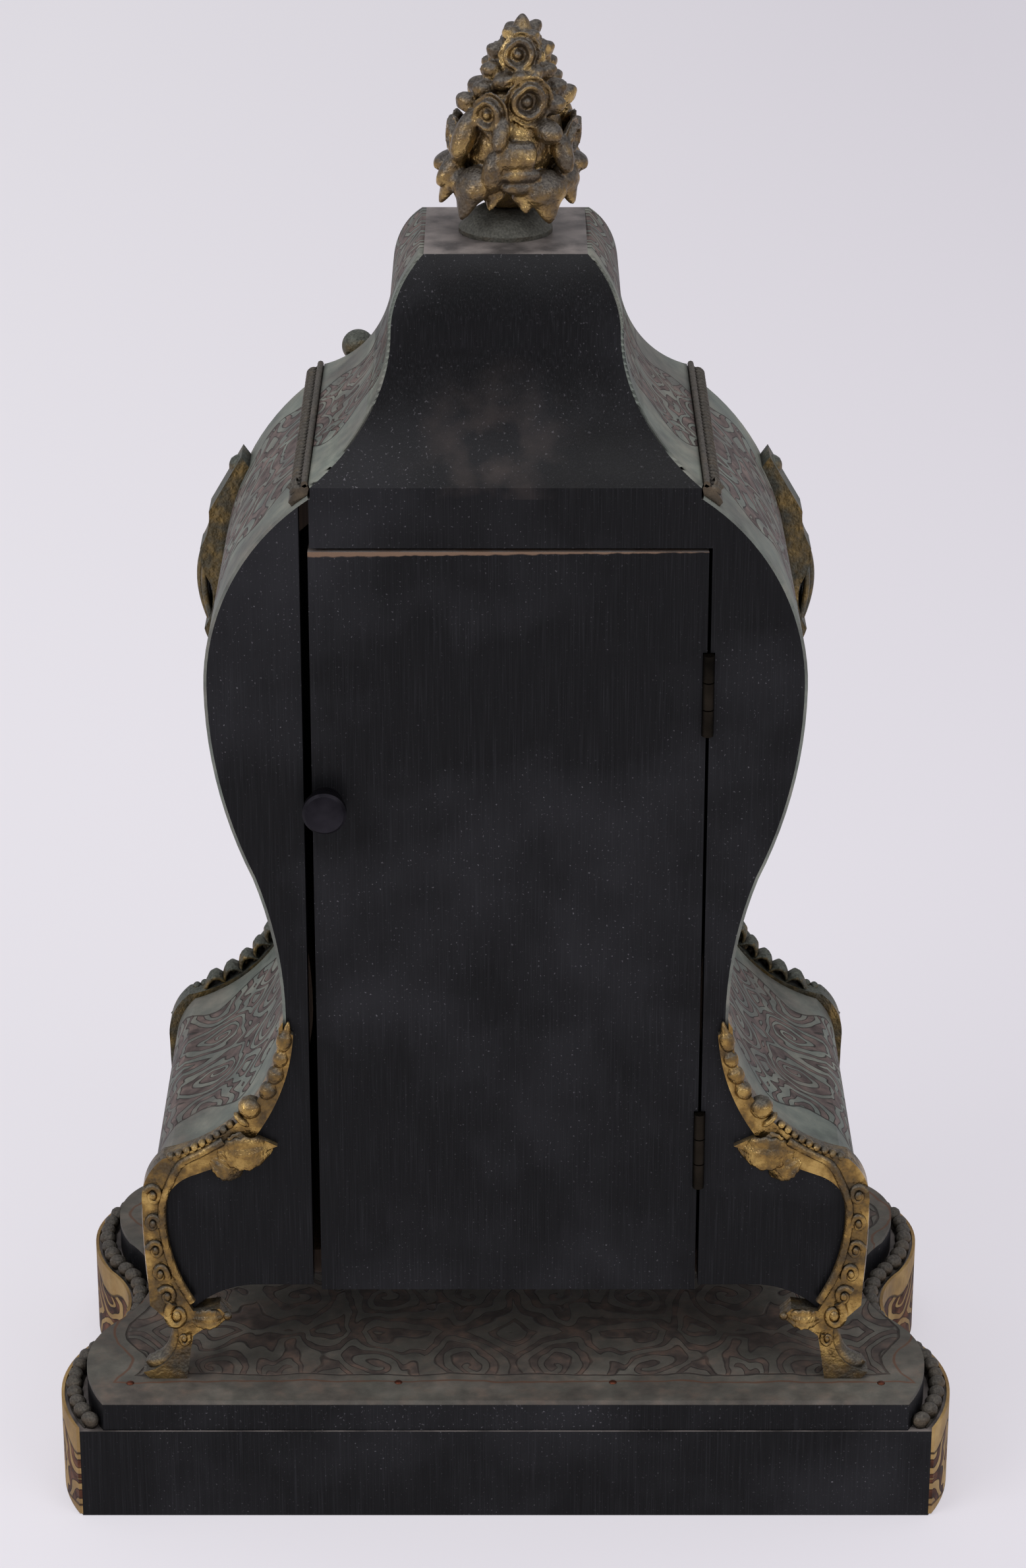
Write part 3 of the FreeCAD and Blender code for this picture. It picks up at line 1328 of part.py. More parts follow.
def barrel():
    """The great wheel with a drum behind it, the mainspring inside and the arbor that winds it."""
    great_back = f"({GREAT_LEVEL} + great_wheel_thickness)"
    drum_end = f"({great_back} + barrel_length)"
    great = prism(toothed(GREAT_TEETH, "power_module", WHEEL_TOOTH), GREAT_LEVEL, "great_wheel_thickness")
    drum = cylinder("barrel_radius", great_back, drum_end)
    hollow = cylinder("barrel_radius - barrel_wall", great_back, f"{drum_end} - barrel_wall")
    bore = cylinder("winding_arbor_radius + running_clearance", GREAT_LEVEL, drum_end)
    set_in("barrel", "winding", [great, drum.cut(hollow)], bore)
    inner = "(winding_arbor_radius + spring_gap)"
    room = value(f"barrel_radius - barrel_wall - spring_gap - spring_gauge - {inner}")
    pitch = 2 * room / SPRING_HALF_TURNS
    inside, first, last = spiral(value(inner), pitch)
    outside, outer_first, outer_last = spiral(value(f"{inner} + spring_gauge"), pitch)
    ends = [Part.makeLine(first, outer_first), Part.makeLine(last, outer_last)]
    strip = Part.__sortEdges__(inside + outside + ends)
    spring = prism(strip, great_back, "barrel_length - barrel_wall - spring_gap")
    formed("mainspring", spring.translated(centre_of("winding")))
    ratchet_back = f"{RATCHET_LEVEL} + ratchet_thickness"
    square_half = value("winding_square") / 2
    corner = Vector(-square_half, value(f"{RATCHET_LEVEL} - winding_square_length"), -square_half)
    square = Part.makeBox(2 * square_half, value("winding_square_length"), 2 * square_half, corner)
    ratchet = saw_toothed(RATCHET_TEETH, "ratchet_radius", "ratchet_tooth")
    pieces = [
        cylinder("winding_arbor_radius", ratchet_back, f"{BACK_INNER} - end_shake"),
        cylinder("winding_pivot", f"{BACK_INNER} - end_shake", BACK_FACE),
        prism(ratchet, RATCHET_LEVEL, "ratchet_thickness"),
        square,
    ]
    set_in("winding_arbor", "winding", pieces)


def going_train():
    gauge, thick, thin = "wheel_thickness", "thick_arbor", "thin_arbor"
    # Second wheel, driven by the barrel
    phase = mesh_phase(GREAT_TEETH, SECOND_LEAVES, "winding", "second")
    pieces = arbor(thick) + [
        pinion(SECOND_LEAVES, "power_module", phase, GREAT_LEVEL, "great_wheel_thickness"),
        crossed_wheel(SECOND_TEETH, "second_module", SECOND_LEVEL, thick),
    ]
    set_in("second_wheel", "second", pieces)
    # Centre wheel, whose arbor carries the hands
    phase = mesh_phase(SECOND_TEETH, CENTRE_LEAVES, "second", "centre")
    pieces = arbor(thick) + [
        pinion(CENTRE_LEAVES, "second_module", phase, SECOND_LEVEL, gauge),
        crossed_wheel(CENTRE_TEETH, "time_module", CENTRE_LEVEL, thick),
        cylinder(thick, f"{MINUTE_HAND_FRONT} + end_shake", FRONT_INNER),
    ]
    set_in("centre_wheel", "centre", pieces)
    phase = mesh_phase(CENTRE_TEETH, THIRD_LEAVES, "centre", "third")
    pieces = arbor(thin) + [
        pinion(THIRD_LEAVES, "time_module", phase, CENTRE_LEVEL, gauge),
        crossed_wheel(THIRD_TEETH, "time_module", THIRD_LEVEL, thin),
    ]
    set_in("third_wheel", "third", pieces)
    phase = mesh_phase(THIRD_TEETH, ESCAPE_LEAVES, "third", "escape")
    rim = value("escape_radius - escape_tooth - rim_width")
    windows = crossings(value("thin_arbor + hub_width"), rim, ESCAPE_LEVEL, gauge)
    saw = prism(saw_toothed(ESCAPE_TEETH, "escape_radius", "escape_tooth"), ESCAPE_LEVEL, gauge)
    leaves = pinion(ESCAPE_LEAVES, "time_module", phase, THIRD_LEVEL, gauge)
    pieces = arbor(thin) + [leaves, saw.cut(windows)]
    set_in("escape_wheel", "escape", pieces)


COCK_FRONT = f"({BACK_FACE} + cock_gap)"
COCK_BACK = f"({COCK_FRONT} + cock_arm)"
ROD_Y = f"({COCK_BACK} + peg_length / 2)"


def anchor():
    """Recoil anchor over the escape wheel, with a crutch behind the back plate that the rod swings."""
    x, z = ARBORS["anchor"]
    tip = "(escape_radius + pallet_clearance)"
    inner = f"({tip} + pallet_reach)"
    outer = f"({inner} + anchor_arm)"
    half_width = "(pallet_width / escape_radius * 90 / pi)"
    near, far = f"({PALLET_HALF} - {half_width})", f"({PALLET_HALF} + {half_width})"
    bow = [
        ("0", inner),
        (f"{inner} * sin({near})", f"{inner} * cos({near})", inner, RIGHT),
        (f"{tip} * sin({near})", f"{tip} * cos({near})"),
        (f"{tip} * sin({far})", f"{tip} * cos({far})"),
        (f"{outer} * sin({far})", f"{outer} * cos({far})"),
        ("0", outer, outer, LEFT),
    ]
    body = new_body("anchor_pallets")
    pad(body, new_sketch(body, "bow", "XZ_Plane", [both_sides(bow)]), "anchor_thickness")
    hub = new_sketch(body, "hub", "XZ_Plane", circles=[("0", ANCHOR_RISE, "anchor_hub - fit_clearance")])
    pad(body, hub, "anchor_thickness")
    place(body, y=f"{ESCAPE_LEVEL} + (wheel_thickness + anchor_thickness) / 2", z=ARBORS["escape"][1])
    crutch_front = f"({BACK_FACE} + crutch_gap)"
    foot = f"({z} - crutch_length)"
    prong = "(rod_radius + fork_clearance)"
    prong_length = f"{ROD_Y} + 2 * rod_radius - {crutch_front}"
    span = f"2 * ({prong} + fork_prong)"
    fork_end = f"-({prong} + fork_prong)"
    arbor_back, pivot_back = f"{COCK_FRONT} - end_shake", f"{COCK_FRONT} + pivot_depth - end_shake"
    pieces = [
        body,
        rod("anchor_arbor", x, f"{FRONT_INNER} + end_shake", z, "thick_arbor",
            f"{arbor_back} - {FRONT_INNER} - end_shake"),
        rod("anchor_pivot", x, FRONT_FACE, z, "pivot_radius", f"{pivot_back} - {FRONT_FACE}"),
        block("crutch", "-crutch_width / 2", crutch_front, foot,
              "crutch_width", "crutch_thickness", "crutch_length"),
        block("fork_bar", fork_end, crutch_front, foot, span, "crutch_thickness", "crutch_width"),
        block("fork_left", prong, crutch_front, foot, "fork_prong", prong_length, "crutch_width"),
        block("fork_right", fork_end, crutch_front, foot, "fork_prong", prong_length, "crutch_width"),
    ]
    keep(fuse("anchor", pieces), "anchor")


def motion_work():
    """The wheels under the dial that turn the hour hand once for twelve turns of the minute hand."""
    gauge = "motion_thickness"
    phase = mesh_phase(MINUTE_TEETH, CANNON_TEETH, "minute", "centre")
    minute_back = f"{MINUTE_LEVEL} + motion_thickness + pinion_overhang"
    pieces = [
        pinion(CANNON_TEETH, "motion_module", phase, MINUTE_LEVEL, gauge),
        cylinder("cannon_pipe", MINUTE_HAND_FRONT, minute_back),
    ]
    bore = cylinder("thick_arbor + running_clearance", f"{MINUTE_HAND_FRONT} - cut_overrun", FRONT_FACE)
    set_in("cannon_pinion", "centre", pieces, bore)
    # The hour wheel keeps a tooth on +X, and the minute wheel's leaves are turned to suit it
    phase = mesh_phase(HOUR_TEETH, MINUTE_LEAVES, "centre", "minute")
    leaf_start = f"{HOUR_LEVEL} - pinion_overhang"
    leaves = toothed(MINUTE_LEAVES, HOUR_MODULE, PINION_LEAF, phase)
    pieces = [
        prism(toothed(MINUTE_TEETH, "motion_module", WHEEL_TOOTH), MINUTE_LEVEL, gauge),
        prism(leaves, leaf_start, f"{MINUTE_LEVEL} - ({leaf_start})"),
    ]
    bore = cylinder("stud_post_radius + running_clearance", f"{HOUR_LEVEL} - cut_overrun", FRONT_FACE)
    set_in("minute_wheel", "minute", pieces, bore)
    pieces = [
        prism(toothed(HOUR_TEETH, HOUR_MODULE, WHEEL_TOOTH), HOUR_LEVEL, gauge),
        cylinder("hour_pipe", HOUR_HAND_FRONT, f"{HOUR_LEVEL} + motion_thickness"),
    ]
    bore = cylinder("cannon_pipe + running_clearance", f"{HOUR_HAND_FRONT} - cut_overrun", FRONT_FACE)
    set_in("hour_wheel", "centre", pieces, bore)
    hand("hour_hand", HOUR_HAND_FRONT, "hour_pipe", "hour_hand_length", HOUR_HAND_ANGLE)
    hand("minute_hand", MINUTE_HAND_FRONT, "cannon_pipe", "minute_hand_length", MINUTE_HAND_ANGLE)


def pendulum():
    x, z = ARBORS["anchor"]
    # Cock: a bridge on the back plate with a blind pivot hole and the peg that carries the rod
    foot = f"{z} - cock_rise / 2"
    pieces = [
        block("cock_arm_plate", "-cock_half - cock_leg / 2", COCK_FRONT, foot,
              "2 * cock_half + cock_leg", "cock_arm", "cock_rise"),
        rod("cock_peg", x, COCK_BACK, z, "peg_radius", "peg_length"),
    ]
    for label, side in (("left", 1), ("right", -1)):
        leg_x = f"{side} * cock_half - cock_leg / 2"
        leg = block(f"cock_leg_{label}", leg_x, BACK_FACE, foot, "cock_leg", "cock_gap", "cock_rise")
        pieces.append(leg)
    hole = rod("cock_hole", x, f"{COCK_FRONT} - cut_overrun", z, "pivot_radius + running_clearance",
               "pivot_depth + cut_overrun")
    keep(cut("suspension_cock", fuse("cock_solid", pieces), hole), "suspension_cock")
    bob_z = f"({z} - pendulum_length)"
    rod_foot = f"({bob_z} - bob_radius - nut_height - rod_tail)"
    eye = rod("rod_eye", x, f"{ROD_Y} - eye_width / 2", z, "eye_radius", "eye_width")
    stem = rod("rod_stem", x, ROD_Y, rod_foot, "rod_radius", f"{z} - {rod_foot}", "Z")
    eye_bore = rod("rod_eye_bore", x, f"{ROD_Y} - eye_width", z,
                   "peg_radius + running_clearance", "2 * eye_width")
    keep(cut("pendulum_rod", fuse("rod_with_eye", [stem, eye]), eye_bore), "pendulum_rod")
    lens = [
        ("0", "-bob_thickness / 2"),
        ("bob_radius / 3", "-bob_thickness / 2"),
        ("bob_radius", "-bob_edge / 2"),
        ("bob_radius", "bob_edge / 2"),
        ("bob_radius / 3", "bob_thickness / 2"),
        ("0", "bob_thickness / 2"),
    ]
    disc_body = turned("bob_lens", lens, x, ROD_Y, bob_z)
    through = "2 * bob_radius + 2 * cut_overrun"
    slot = ("rod_radius + running_clearance", through, "Z")
    bob_bore = rod("bob_bore", x, ROD_Y, f"{bob_z} - bob_radius - cut_overrun", *slot)
    keep(cut("pendulum_bob", disc_body, bob_bore), "pendulum_bob")
    nut_foot = f"{bob_z} - bob_radius - nut_height"
    nut = rod("nut_solid", x, ROD_Y, nut_foot, "nut_radius", "nut_height", "Z")
    nut_bore = rod("nut_bore", x, ROD_Y, f"{nut_foot} - cut_overrun", *slot)
    keep(cut("rating_nut", nut, nut_bore), "rating_nut")


plinth()
bead_mouldings()
carcass()
back_door()
hinge_leaves("door", DOOR_HINGE_EDGE, (0, 2))
hinge_leaves("case", "-opening_half", (1,))
door_knob()
cap()
ridge_mouldings()
corner_ball()
finial()
leg_mounts()
shoulder_mounts()
dial_and_bezel()
plates()
barrel()
going_train()
anchor()
motion_work()
pendulum()
doc.recompute()

for thing in doc.Objects:
    if "Invalid" in thing.State or "Error" in thing.State:
        raise RuntimeError(f"{thing.Label}: {thing.getStatusString()}")
os.makedirs("parts", exist_ok=True)
for node in nodes:
    if node.Shape.isNull() or not node.Shape.isValid():
        raise RuntimeError(f"{node.Label} has no sound shape")
    node.Shape.exportStep(f"parts/{node.Label}.step")
print(len(nodes), "sub-parts written")
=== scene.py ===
import math

import bmesh
import bpy
from mathutils import Matrix, Vector


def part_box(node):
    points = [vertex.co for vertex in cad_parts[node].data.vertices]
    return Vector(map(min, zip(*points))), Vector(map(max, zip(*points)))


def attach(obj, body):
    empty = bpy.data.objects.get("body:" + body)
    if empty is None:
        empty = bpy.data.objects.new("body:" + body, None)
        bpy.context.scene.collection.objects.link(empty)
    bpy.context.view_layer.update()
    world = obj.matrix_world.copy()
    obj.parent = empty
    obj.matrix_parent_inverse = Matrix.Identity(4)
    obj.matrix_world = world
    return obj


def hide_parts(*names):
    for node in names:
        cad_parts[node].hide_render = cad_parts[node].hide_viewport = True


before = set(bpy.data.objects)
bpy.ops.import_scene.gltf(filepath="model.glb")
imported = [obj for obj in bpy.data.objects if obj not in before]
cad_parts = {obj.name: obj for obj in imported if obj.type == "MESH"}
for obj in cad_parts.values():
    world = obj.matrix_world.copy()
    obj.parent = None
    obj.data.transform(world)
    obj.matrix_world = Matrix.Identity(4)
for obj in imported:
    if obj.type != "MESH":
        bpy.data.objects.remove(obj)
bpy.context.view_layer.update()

# A waisted table clock seen from behind. Lengths below are metres, in the part's own frame:
# +Z up, the dial towards -Y, the door towards +Y. "left" is +X, as the picture shows it.
MM = 0.001
BACK, FRONT = 64 * MM, -56 * MM
CASE_MIDDLE = (BACK + FRONT) / 2
LEDGE = 31 * MM
DIAL_HEIGHT = 268 * MM

# The photograph's camera: its place, how far it looks down, its lens and its aim off the middle
CAMERA_PLACE = (0, 1.210, 0.7327)
CAMERA_DROP = math.radians(23)
CAMERA_LENS = 95.6
CAMERA_SHIFT = 0.0047


# Paths that the veneers and mouldings follow

def bend(start, end, radius, turn, steps=14):
    """Points after start on the arc to end: turn 1 keeps its centre on the left, -1 on the right."""
    a, b = Vector(start), Vector(end)
    half = (b - a) / 2
    off = math.sqrt(max(radius ** 2 - half.length_squared, 0))
    centre = a + half + turn * off * Vector((-half.y, half.x)).normalized()
    first = math.atan2(a.y - centre.y, a.x - centre.x)
    last = math.atan2(b.y - centre.y, b.x - centre.x)
    sweep = (last - first) % (2 * math.pi)
    if turn < 0:
        sweep -= 2 * math.pi
    angles = [first + sweep * k / steps for k in range(1, steps + 1)]
    return [(centre.x + radius * math.cos(t), centre.y + radius * math.sin(t)) for t in angles]


def square_radius(first, second):
    """Radius of the arc between two points that runs straight along the second axis at one of them."""
    across, along = first[0] - second[0], first[1] - second[1]
    return (across ** 2 + along ** 2) / (2 * abs(across))


def wave(spots, turns):
    """A line of arcs through the spots, each tangent to the second axis at one of its ends."""
    line = [spots[0]]
    for (start, end), turn in zip(zip(spots, spots[1:]), turns):
        line += bend(start, end, square_radius(start, end), turn)
    return line


def case_outline(proud=0.0):
    """Half of the case seen from behind, from its bottom corner up to the shoulder."""
    spots = [(98.5, 66.5), (110.0, 104.0), (104.0, 118.4), (67.3, 168.0), (75.5, 215.5), (88.6, 277.0),
             (57.4, 336.0)]
    pushes = [(1, -0.6), (1, 0), (0.4, 1), (1, 0), (0.91, -0.41), (1, 0), (0.29, 1)]
    shifted = [((x + px * proud) * MM, (z + pz * proud) * MM) for (x, z), (px, pz) in zip(spots, pushes)]
    return wave(shifted, (1, 1, -1, -1, 1, 1))


def cap_outline():
    """Half of the cap's veneer seen from behind: a hollow over the foot and a round shoulder."""
    foot, neck, crown = [(x * MM, z * MM) for x, z in ((57.34, 340.29), (34.5, 379.0), (25.26, 400.0))]
    return [foot] + bend(foot, neck, 44.24 * MM, -1) + bend(neck, crown, square_radius(neck, crown), 1)


def plinth_line(inset, rear_inset=0.0):
    """Half of the plinth's plan, from the front middle round to the rear corner."""
    half, depth = 142.5, 160.0
    notch = 0.021875 * depth
    flank = 0.93544 * half - inset * 0.745
    along = 0.1375 * depth + inset * 0.667
    spots = [(0.88772 * half - inset * 0.6, -0.45 * depth + inset * 0.8),
             (0.9839 * half - inset, -0.275 * depth)]
    spots += [(flank, notch - along), (0.88 * half - inset, notch), (flank, notch + along)]
    spots += [(half - inset, 0.33125 * depth), (0.95088 * half - inset, depth / 2 - rear_inset)]
    spots = [(x * MM, y * MM) for x, y in spots]
    start = (0.0, (inset - depth / 2) * MM)
    bow = (spots[0][0] ** 2 + (spots[0][1] - start[1]) ** 2) / (2 * (spots[0][1] - start[1]))
    return [start] + bend(start, spots[0], bow, 1, 30) + wave(spots, (1, 1, -1, -1, 1, 1))[1:]


def lengths_along(line):
    """Distance of each point of a line from its start."""
    run = [0.0]
    for a, b in zip(line, line[1:]):
        run.append(run[-1] + (Vector(b) - Vector(a)).length)
    return run


def step_along(line, pitch):
    """Points one pitch apart on a line, with the way it heads there."""
    run = lengths_along(line)
    count = int(run[-1] / pitch)
    stops, place = [], 0
    for k in range(count + 1):
        goal = run[-1] * k / count
        while place < len(run) - 2 and run[place + 1] < goal:
            place += 1
        a, b = Vector(line[place]), Vector(line[place + 1])
        share = (goal - run[place]) / (run[place + 1] - run[place])
        stops.append((a.lerp(b, share), (b - a).normalized()))
    return stops


# Modelling

def deselect():
    """Leaves nothing selected."""
    bpy.ops.object.select_all(action="DESELECT")


def begin(name):
    """Names the primitive just added and opens it for editing."""
    piece = bpy.context.object
    piece.name = name
    piece.data.name = name
    bpy.ops.object.mode_set(mode="EDIT")
    return piece


def choose(piece, wanted):
    """Selects the vertices of the open piece whose place is wanted."""
    bpy.ops.mesh.select_mode(type="VERT")
    shape = bmesh.from_edit_mesh(piece.data)
    for face in shape.faces:
        face.select = False
    for vertex in shape.verts:
        vertex.select = bool(wanted(vertex.co))
    shape.select_flush(True)
    bmesh.update_edit_mesh(piece.data)


def close(piece, smooth=40):
    """Ends editing, moves the piece's place into its mesh and shades it smooth up to an angle."""
    bpy.ops.object.mode_set(mode="OBJECT")
    deselect()
    piece.select_set(True)
    bpy.context.view_layer.objects.active = piece
    bpy.ops.object.transform_apply(location=True, rotation=True, scale=True)
    bpy.ops.object.shade_smooth_by_angle(angle=math.radians(smooth))
    return piece


def grow(rim, steps):
    """Extrudes the selected rim along steps of (shift, resize), starting from the rim's middle."""
    middle = Vector(rim)
    for shift, size in steps:
        bpy.ops.mesh.extrude_region_move(TRANSFORM_OT_translate={"value": shift})
        middle = middle + Vector(shift)
        bpy.ops.transform.resize(value=size, center_override=middle)


def finish_with(piece, kind, **settings):
    """Adds a modifier and applies it."""
    deselect()
    piece.select_set(True)
    bpy.context.view_layer.objects.active = piece
    added = piece.modifiers.new(kind.title(), kind)
    for key, value in settings.items():
        setattr(added, key, value)
    bpy.ops.object.modifier_apply(modifier=added.name)
    return piece


def smooth_out(piece, levels=1):
    """Rounds a piece by subdividing it."""
    return finish_with(piece, "SUBSURF", levels=levels, render_levels=levels)


def put(source, name, matrix):
    """A copy of a modelled shape with its own mesh, moved into place in the mesh."""
    mesh = source.data.copy()
    mesh.transform(matrix)
    if matrix.determinant() < 0:
        mesh.flip_normals()
    made = bpy.data.objects.new(name, mesh)
    bpy.context.collection.objects.link(made)
    return made


def aim(spot, forward, up, size, stretch=(1, 1, 1)):
    """Where a copy goes: its +X along forward, its back towards up."""
    x = Vector(forward).normalized()
    y = Vector(up).cross(x).normalized()
    z = x.cross(y)
    turn = Matrix((x, y, z)).transposed().to_4x4()
    scale = Matrix.Diagonal((size * stretch[0], size * stretch[1], size * stretch[2], 1))
    return Matrix.Translation(spot) @ turn @ scale


def join(name, pieces, material):
    """One named piece out of several, with one material."""
    deselect()
    for piece in pieces:
        piece.select_set(True)
    bpy.context.view_layer.objects.active = pieces[0]
    if len(pieces) > 1:
        bpy.ops.object.join()
    whole = bpy.context.object
    whole.name = name
    whole.data.name = name
    whole.data.materials.clear()
    whole.data.materials.append(material)
    return whole


def drop(*pieces):
    """Removes pieces that were only models for copies."""
    for piece in pieces:
        bpy.data.objects.remove(piece)


def bar(name, spots, thick, sides=2):
    """A cast bar drawn through the spots, as thick as is given at each of them."""
    line = bpy.data.curves.new(name, "CURVE")
    line.dimensions = "3D"
    line.bevel_depth = 1.0
    line.bevel_resolution = sides
    line.use_fill_caps = True
    line.resolution_u = 5
    run = line.splines.new("NURBS")
    run.points.add(len(spots) - 1)
    for point, spot, radius in zip(run.points, spots, thick):
        point.co = (*spot, 1)
        point.radius = radius
    run.order_u = 4
    run.use_endpoint_u = True
    made = bpy.data.objects.new(name, line)
    bpy.context.collection.objects.link(made)
    deselect()
    made.select_set(True)
    bpy.context.view_layer.objects.active = made
    bpy.ops.object.convert(target="MESH")
    made = bpy.context.object
    bpy.ops.object.shade_smooth_by_angle(angle=math.radians(50))
    return made


def volute(centre, radius, turns, start, hand, plane, steps=9):
    """Spots of a scroll that winds in from its radius; plane gives its two directions."""
    across, up = Vector(plane[0]), Vector(plane[1])
    spots = []
    for k in range(int(turns * steps) + 1):
        angle = start + hand * 2 * math.pi * k / steps
        reach = radius * (1 - 0.8 * k / (turns * steps))
        spots.append(Vector(centre) + reach * (math.cos(angle) * across + math.sin(angle) * up))
    return spots


# Shapes that repeat, modelled once at a length of 1 along +X

def leaf_shape():
    """A lobed leaf: a strip with a raised rib, drawn out in widening and narrowing steps."""
    deselect()
    bpy.ops.mesh.primitive_grid_add(x_subdivisions=1, y_subdivisions=6, size=1)
    piece = begin("leaf_shape")
    bpy.ops.transform.resize(value=(0.1, 0.16, 1), center_override=(0, 0, 0))
    bpy.ops.transform.translate(value=(0.05, 0, 0))
    choose(piece, lambda p: abs(p.y) < 0.01)
    bpy.ops.transform.translate(value=(0, 0, 0.035))
    choose(piece, lambda p: abs(abs(p.y) - 0.053) < 0.01)
    bpy.ops.transform.translate(value=(0, 0, 0.02))
    choose(piece, lambda p: p.x > 0.09)
    steps = [((0.09, 0, 0.05), (1, 2.3, 1.3)), ((0.07, 0, 0.035), (1, 0.74, 0.9)),
             ((0.09, 0, 0.03), (1, 1.6, 1.25)), ((0.07, 0, 0.01), (1, 0.72, 0.85)),
             ((0.09, 0, 0), (1, 1.42, 1.2)), ((0.07, 0, -0.02), (1, 0.7, 0.85)),
             ((0.09, 0, -0.05), (1, 1.15, 1)), ((0.07, 0, -0.06), (1, 0.66, 0.8)),
             ((0.08, 0, -0.08), (1, 0.8, 0.8)), ((0.08, 0, -0.07), (1, 0.25, 0.5))]
    grow((0.1, 0, 0), steps)
    close(piece)
    finish_with(piece, "SOLIDIFY", thickness=0.05, offset=0)
    return smooth_out(piece)


def petal_ring():
    """A trumpet blossom that faces +X: a notched skirt of petals, a rim and a hollow with a button."""
    deselect()
    bpy.ops.mesh.primitive_circle_add(vertices=20, radius=0.5, fill_type="NOTHING",
                                      rotation=(0, math.pi / 2, 0))
    piece = begin("petal_ring")
    choose(piece, lambda p: math.cos(5 * math.atan2(p.z, p.y)) < -0.5)
    bpy.ops.transform.resize(value=(1, 0.8, 0.8), center_override=(0, 0, 0))
    choose(piece, lambda p: True)
    steps = [((-0.10, 0, 0), (1, 0.72, 0.72)), ((-0.04, 0, 0), (1, 0.8, 0.8)),
             ((0.22, 0, 0), (1, 1.15, 1.15)), ((0.05, 0, 0), (1, 0.93, 0.93)),
             ((-0.03, 0, 0), (1, 0.82, 0.82)), ((-0.20, 0, 0), (1, 0.72, 0.72)),
             ((0.02, 0, 0), (1, 0.5, 0.5)), ((0.12, 0, 0), (1, 0.95, 0.95)),
             ((0.03, 0, 0), (1, 0.3, 0.3))]
    grow((0, 0, 0), steps)
    bpy.ops.mesh.edge_face_add()
    close(piece)
    finish_with(piece, "SOLIDIFY", thickness=0.06, offset=0)
    return smooth_out(piece)


def bead_shape():
    """A cast bead of radius 1 with a flattened seat."""
    deselect()
    bpy.ops.mesh.primitive_uv_sphere_add(segments=10, ring_count=7, radius=1)
    piece = begin("bead_shape")
    choose(piece, lambda p: p.z < -0.7)
    bpy.ops.transform.resize(value=(1.5, 1.5, 0.5), center_override=(0, 0, -0.9))
    return close(piece, 60)


def husk_shape():
    """A bell husk along +X: a round cup that opens, narrows and draws out to a point."""
    deselect()
    bpy.ops.mesh.primitive_circle_add(vertices=10, radius=0.12, fill_type="NGON",
                                      rotation=(0, math.pi / 2, 0))
    piece = begin("husk_shape")
    choose(piece, lambda p: True)
    steps = [((0.16, 0, 0), (1, 2.3, 2.3)), ((0.2, 0, 0), (1, 1.25, 1.25)), ((0.2, 0, 0), (1, 0.9, 0.9)),
             ((0.06, 0, 0), (1, 0.62, 0.62)), ((0.2, 0, 0), (1, 0.75, 0.75)),
             ((0.18, 0, 0), (1, 0.2, 0.2))]
    grow((0, 0, 0), steps)
    bpy.ops.mesh.select_all(action="SELECT")
    bpy.ops.mesh.fill_holes(sides=0)
    bpy.ops.mesh.normals_make_consistent(inside=False)
    close(piece, 50)
    return smooth_out(piece)


# Materials

def colour(code):
    """sRGB hex to linear RGBA."""
    parts = [int(code[k:k + 2], 16) / 255 for k in (1, 3, 5)]
    linear = [c / 12.92 if c <= 0.04045 else ((c + 0.055) / 1.055) ** 2.4 for c in parts]
    return (*linear, 1.0)


def per(size):
    """Texture scale for a feature of that size in millimetres."""
    return 1000.0 / size


def node(tree, kind, links=None, stops=(), **settings):
    """Adds one node, sets its own settings, fills or links its inputs and gives a ramp its stops."""
    made = tree.nodes.new(kind)
    for key, value in settings.items():
        setattr(made, key, value)
    for socket, given in (links or {}).items():
        if isinstance(given, bpy.types.NodeSocket):
            tree.links.new(given, made.inputs[socket])
        else:
            made.inputs[socket].default_value = given
    for k, (place, code) in enumerate(stops):
        row = made.color_ramp.elements
        element = row[k] if k < len(row) else row.new(1.0)
        element.position = place
        element.color = colour(code)
    return made


def new_finish(name, sockets):
    """A material with its shader's plain sockets set, and the place on the piece to read patterns by."""
    paint = bpy.data.materials.new(name)
    paint.use_nodes = True
    tree = paint.node_tree
    shader = tree.nodes["Principled BSDF"]
    for socket, given in sockets.items():
        shader.inputs[socket].default_value = given
    return paint, tree, shader, node(tree, "ShaderNodeTexCoord").outputs


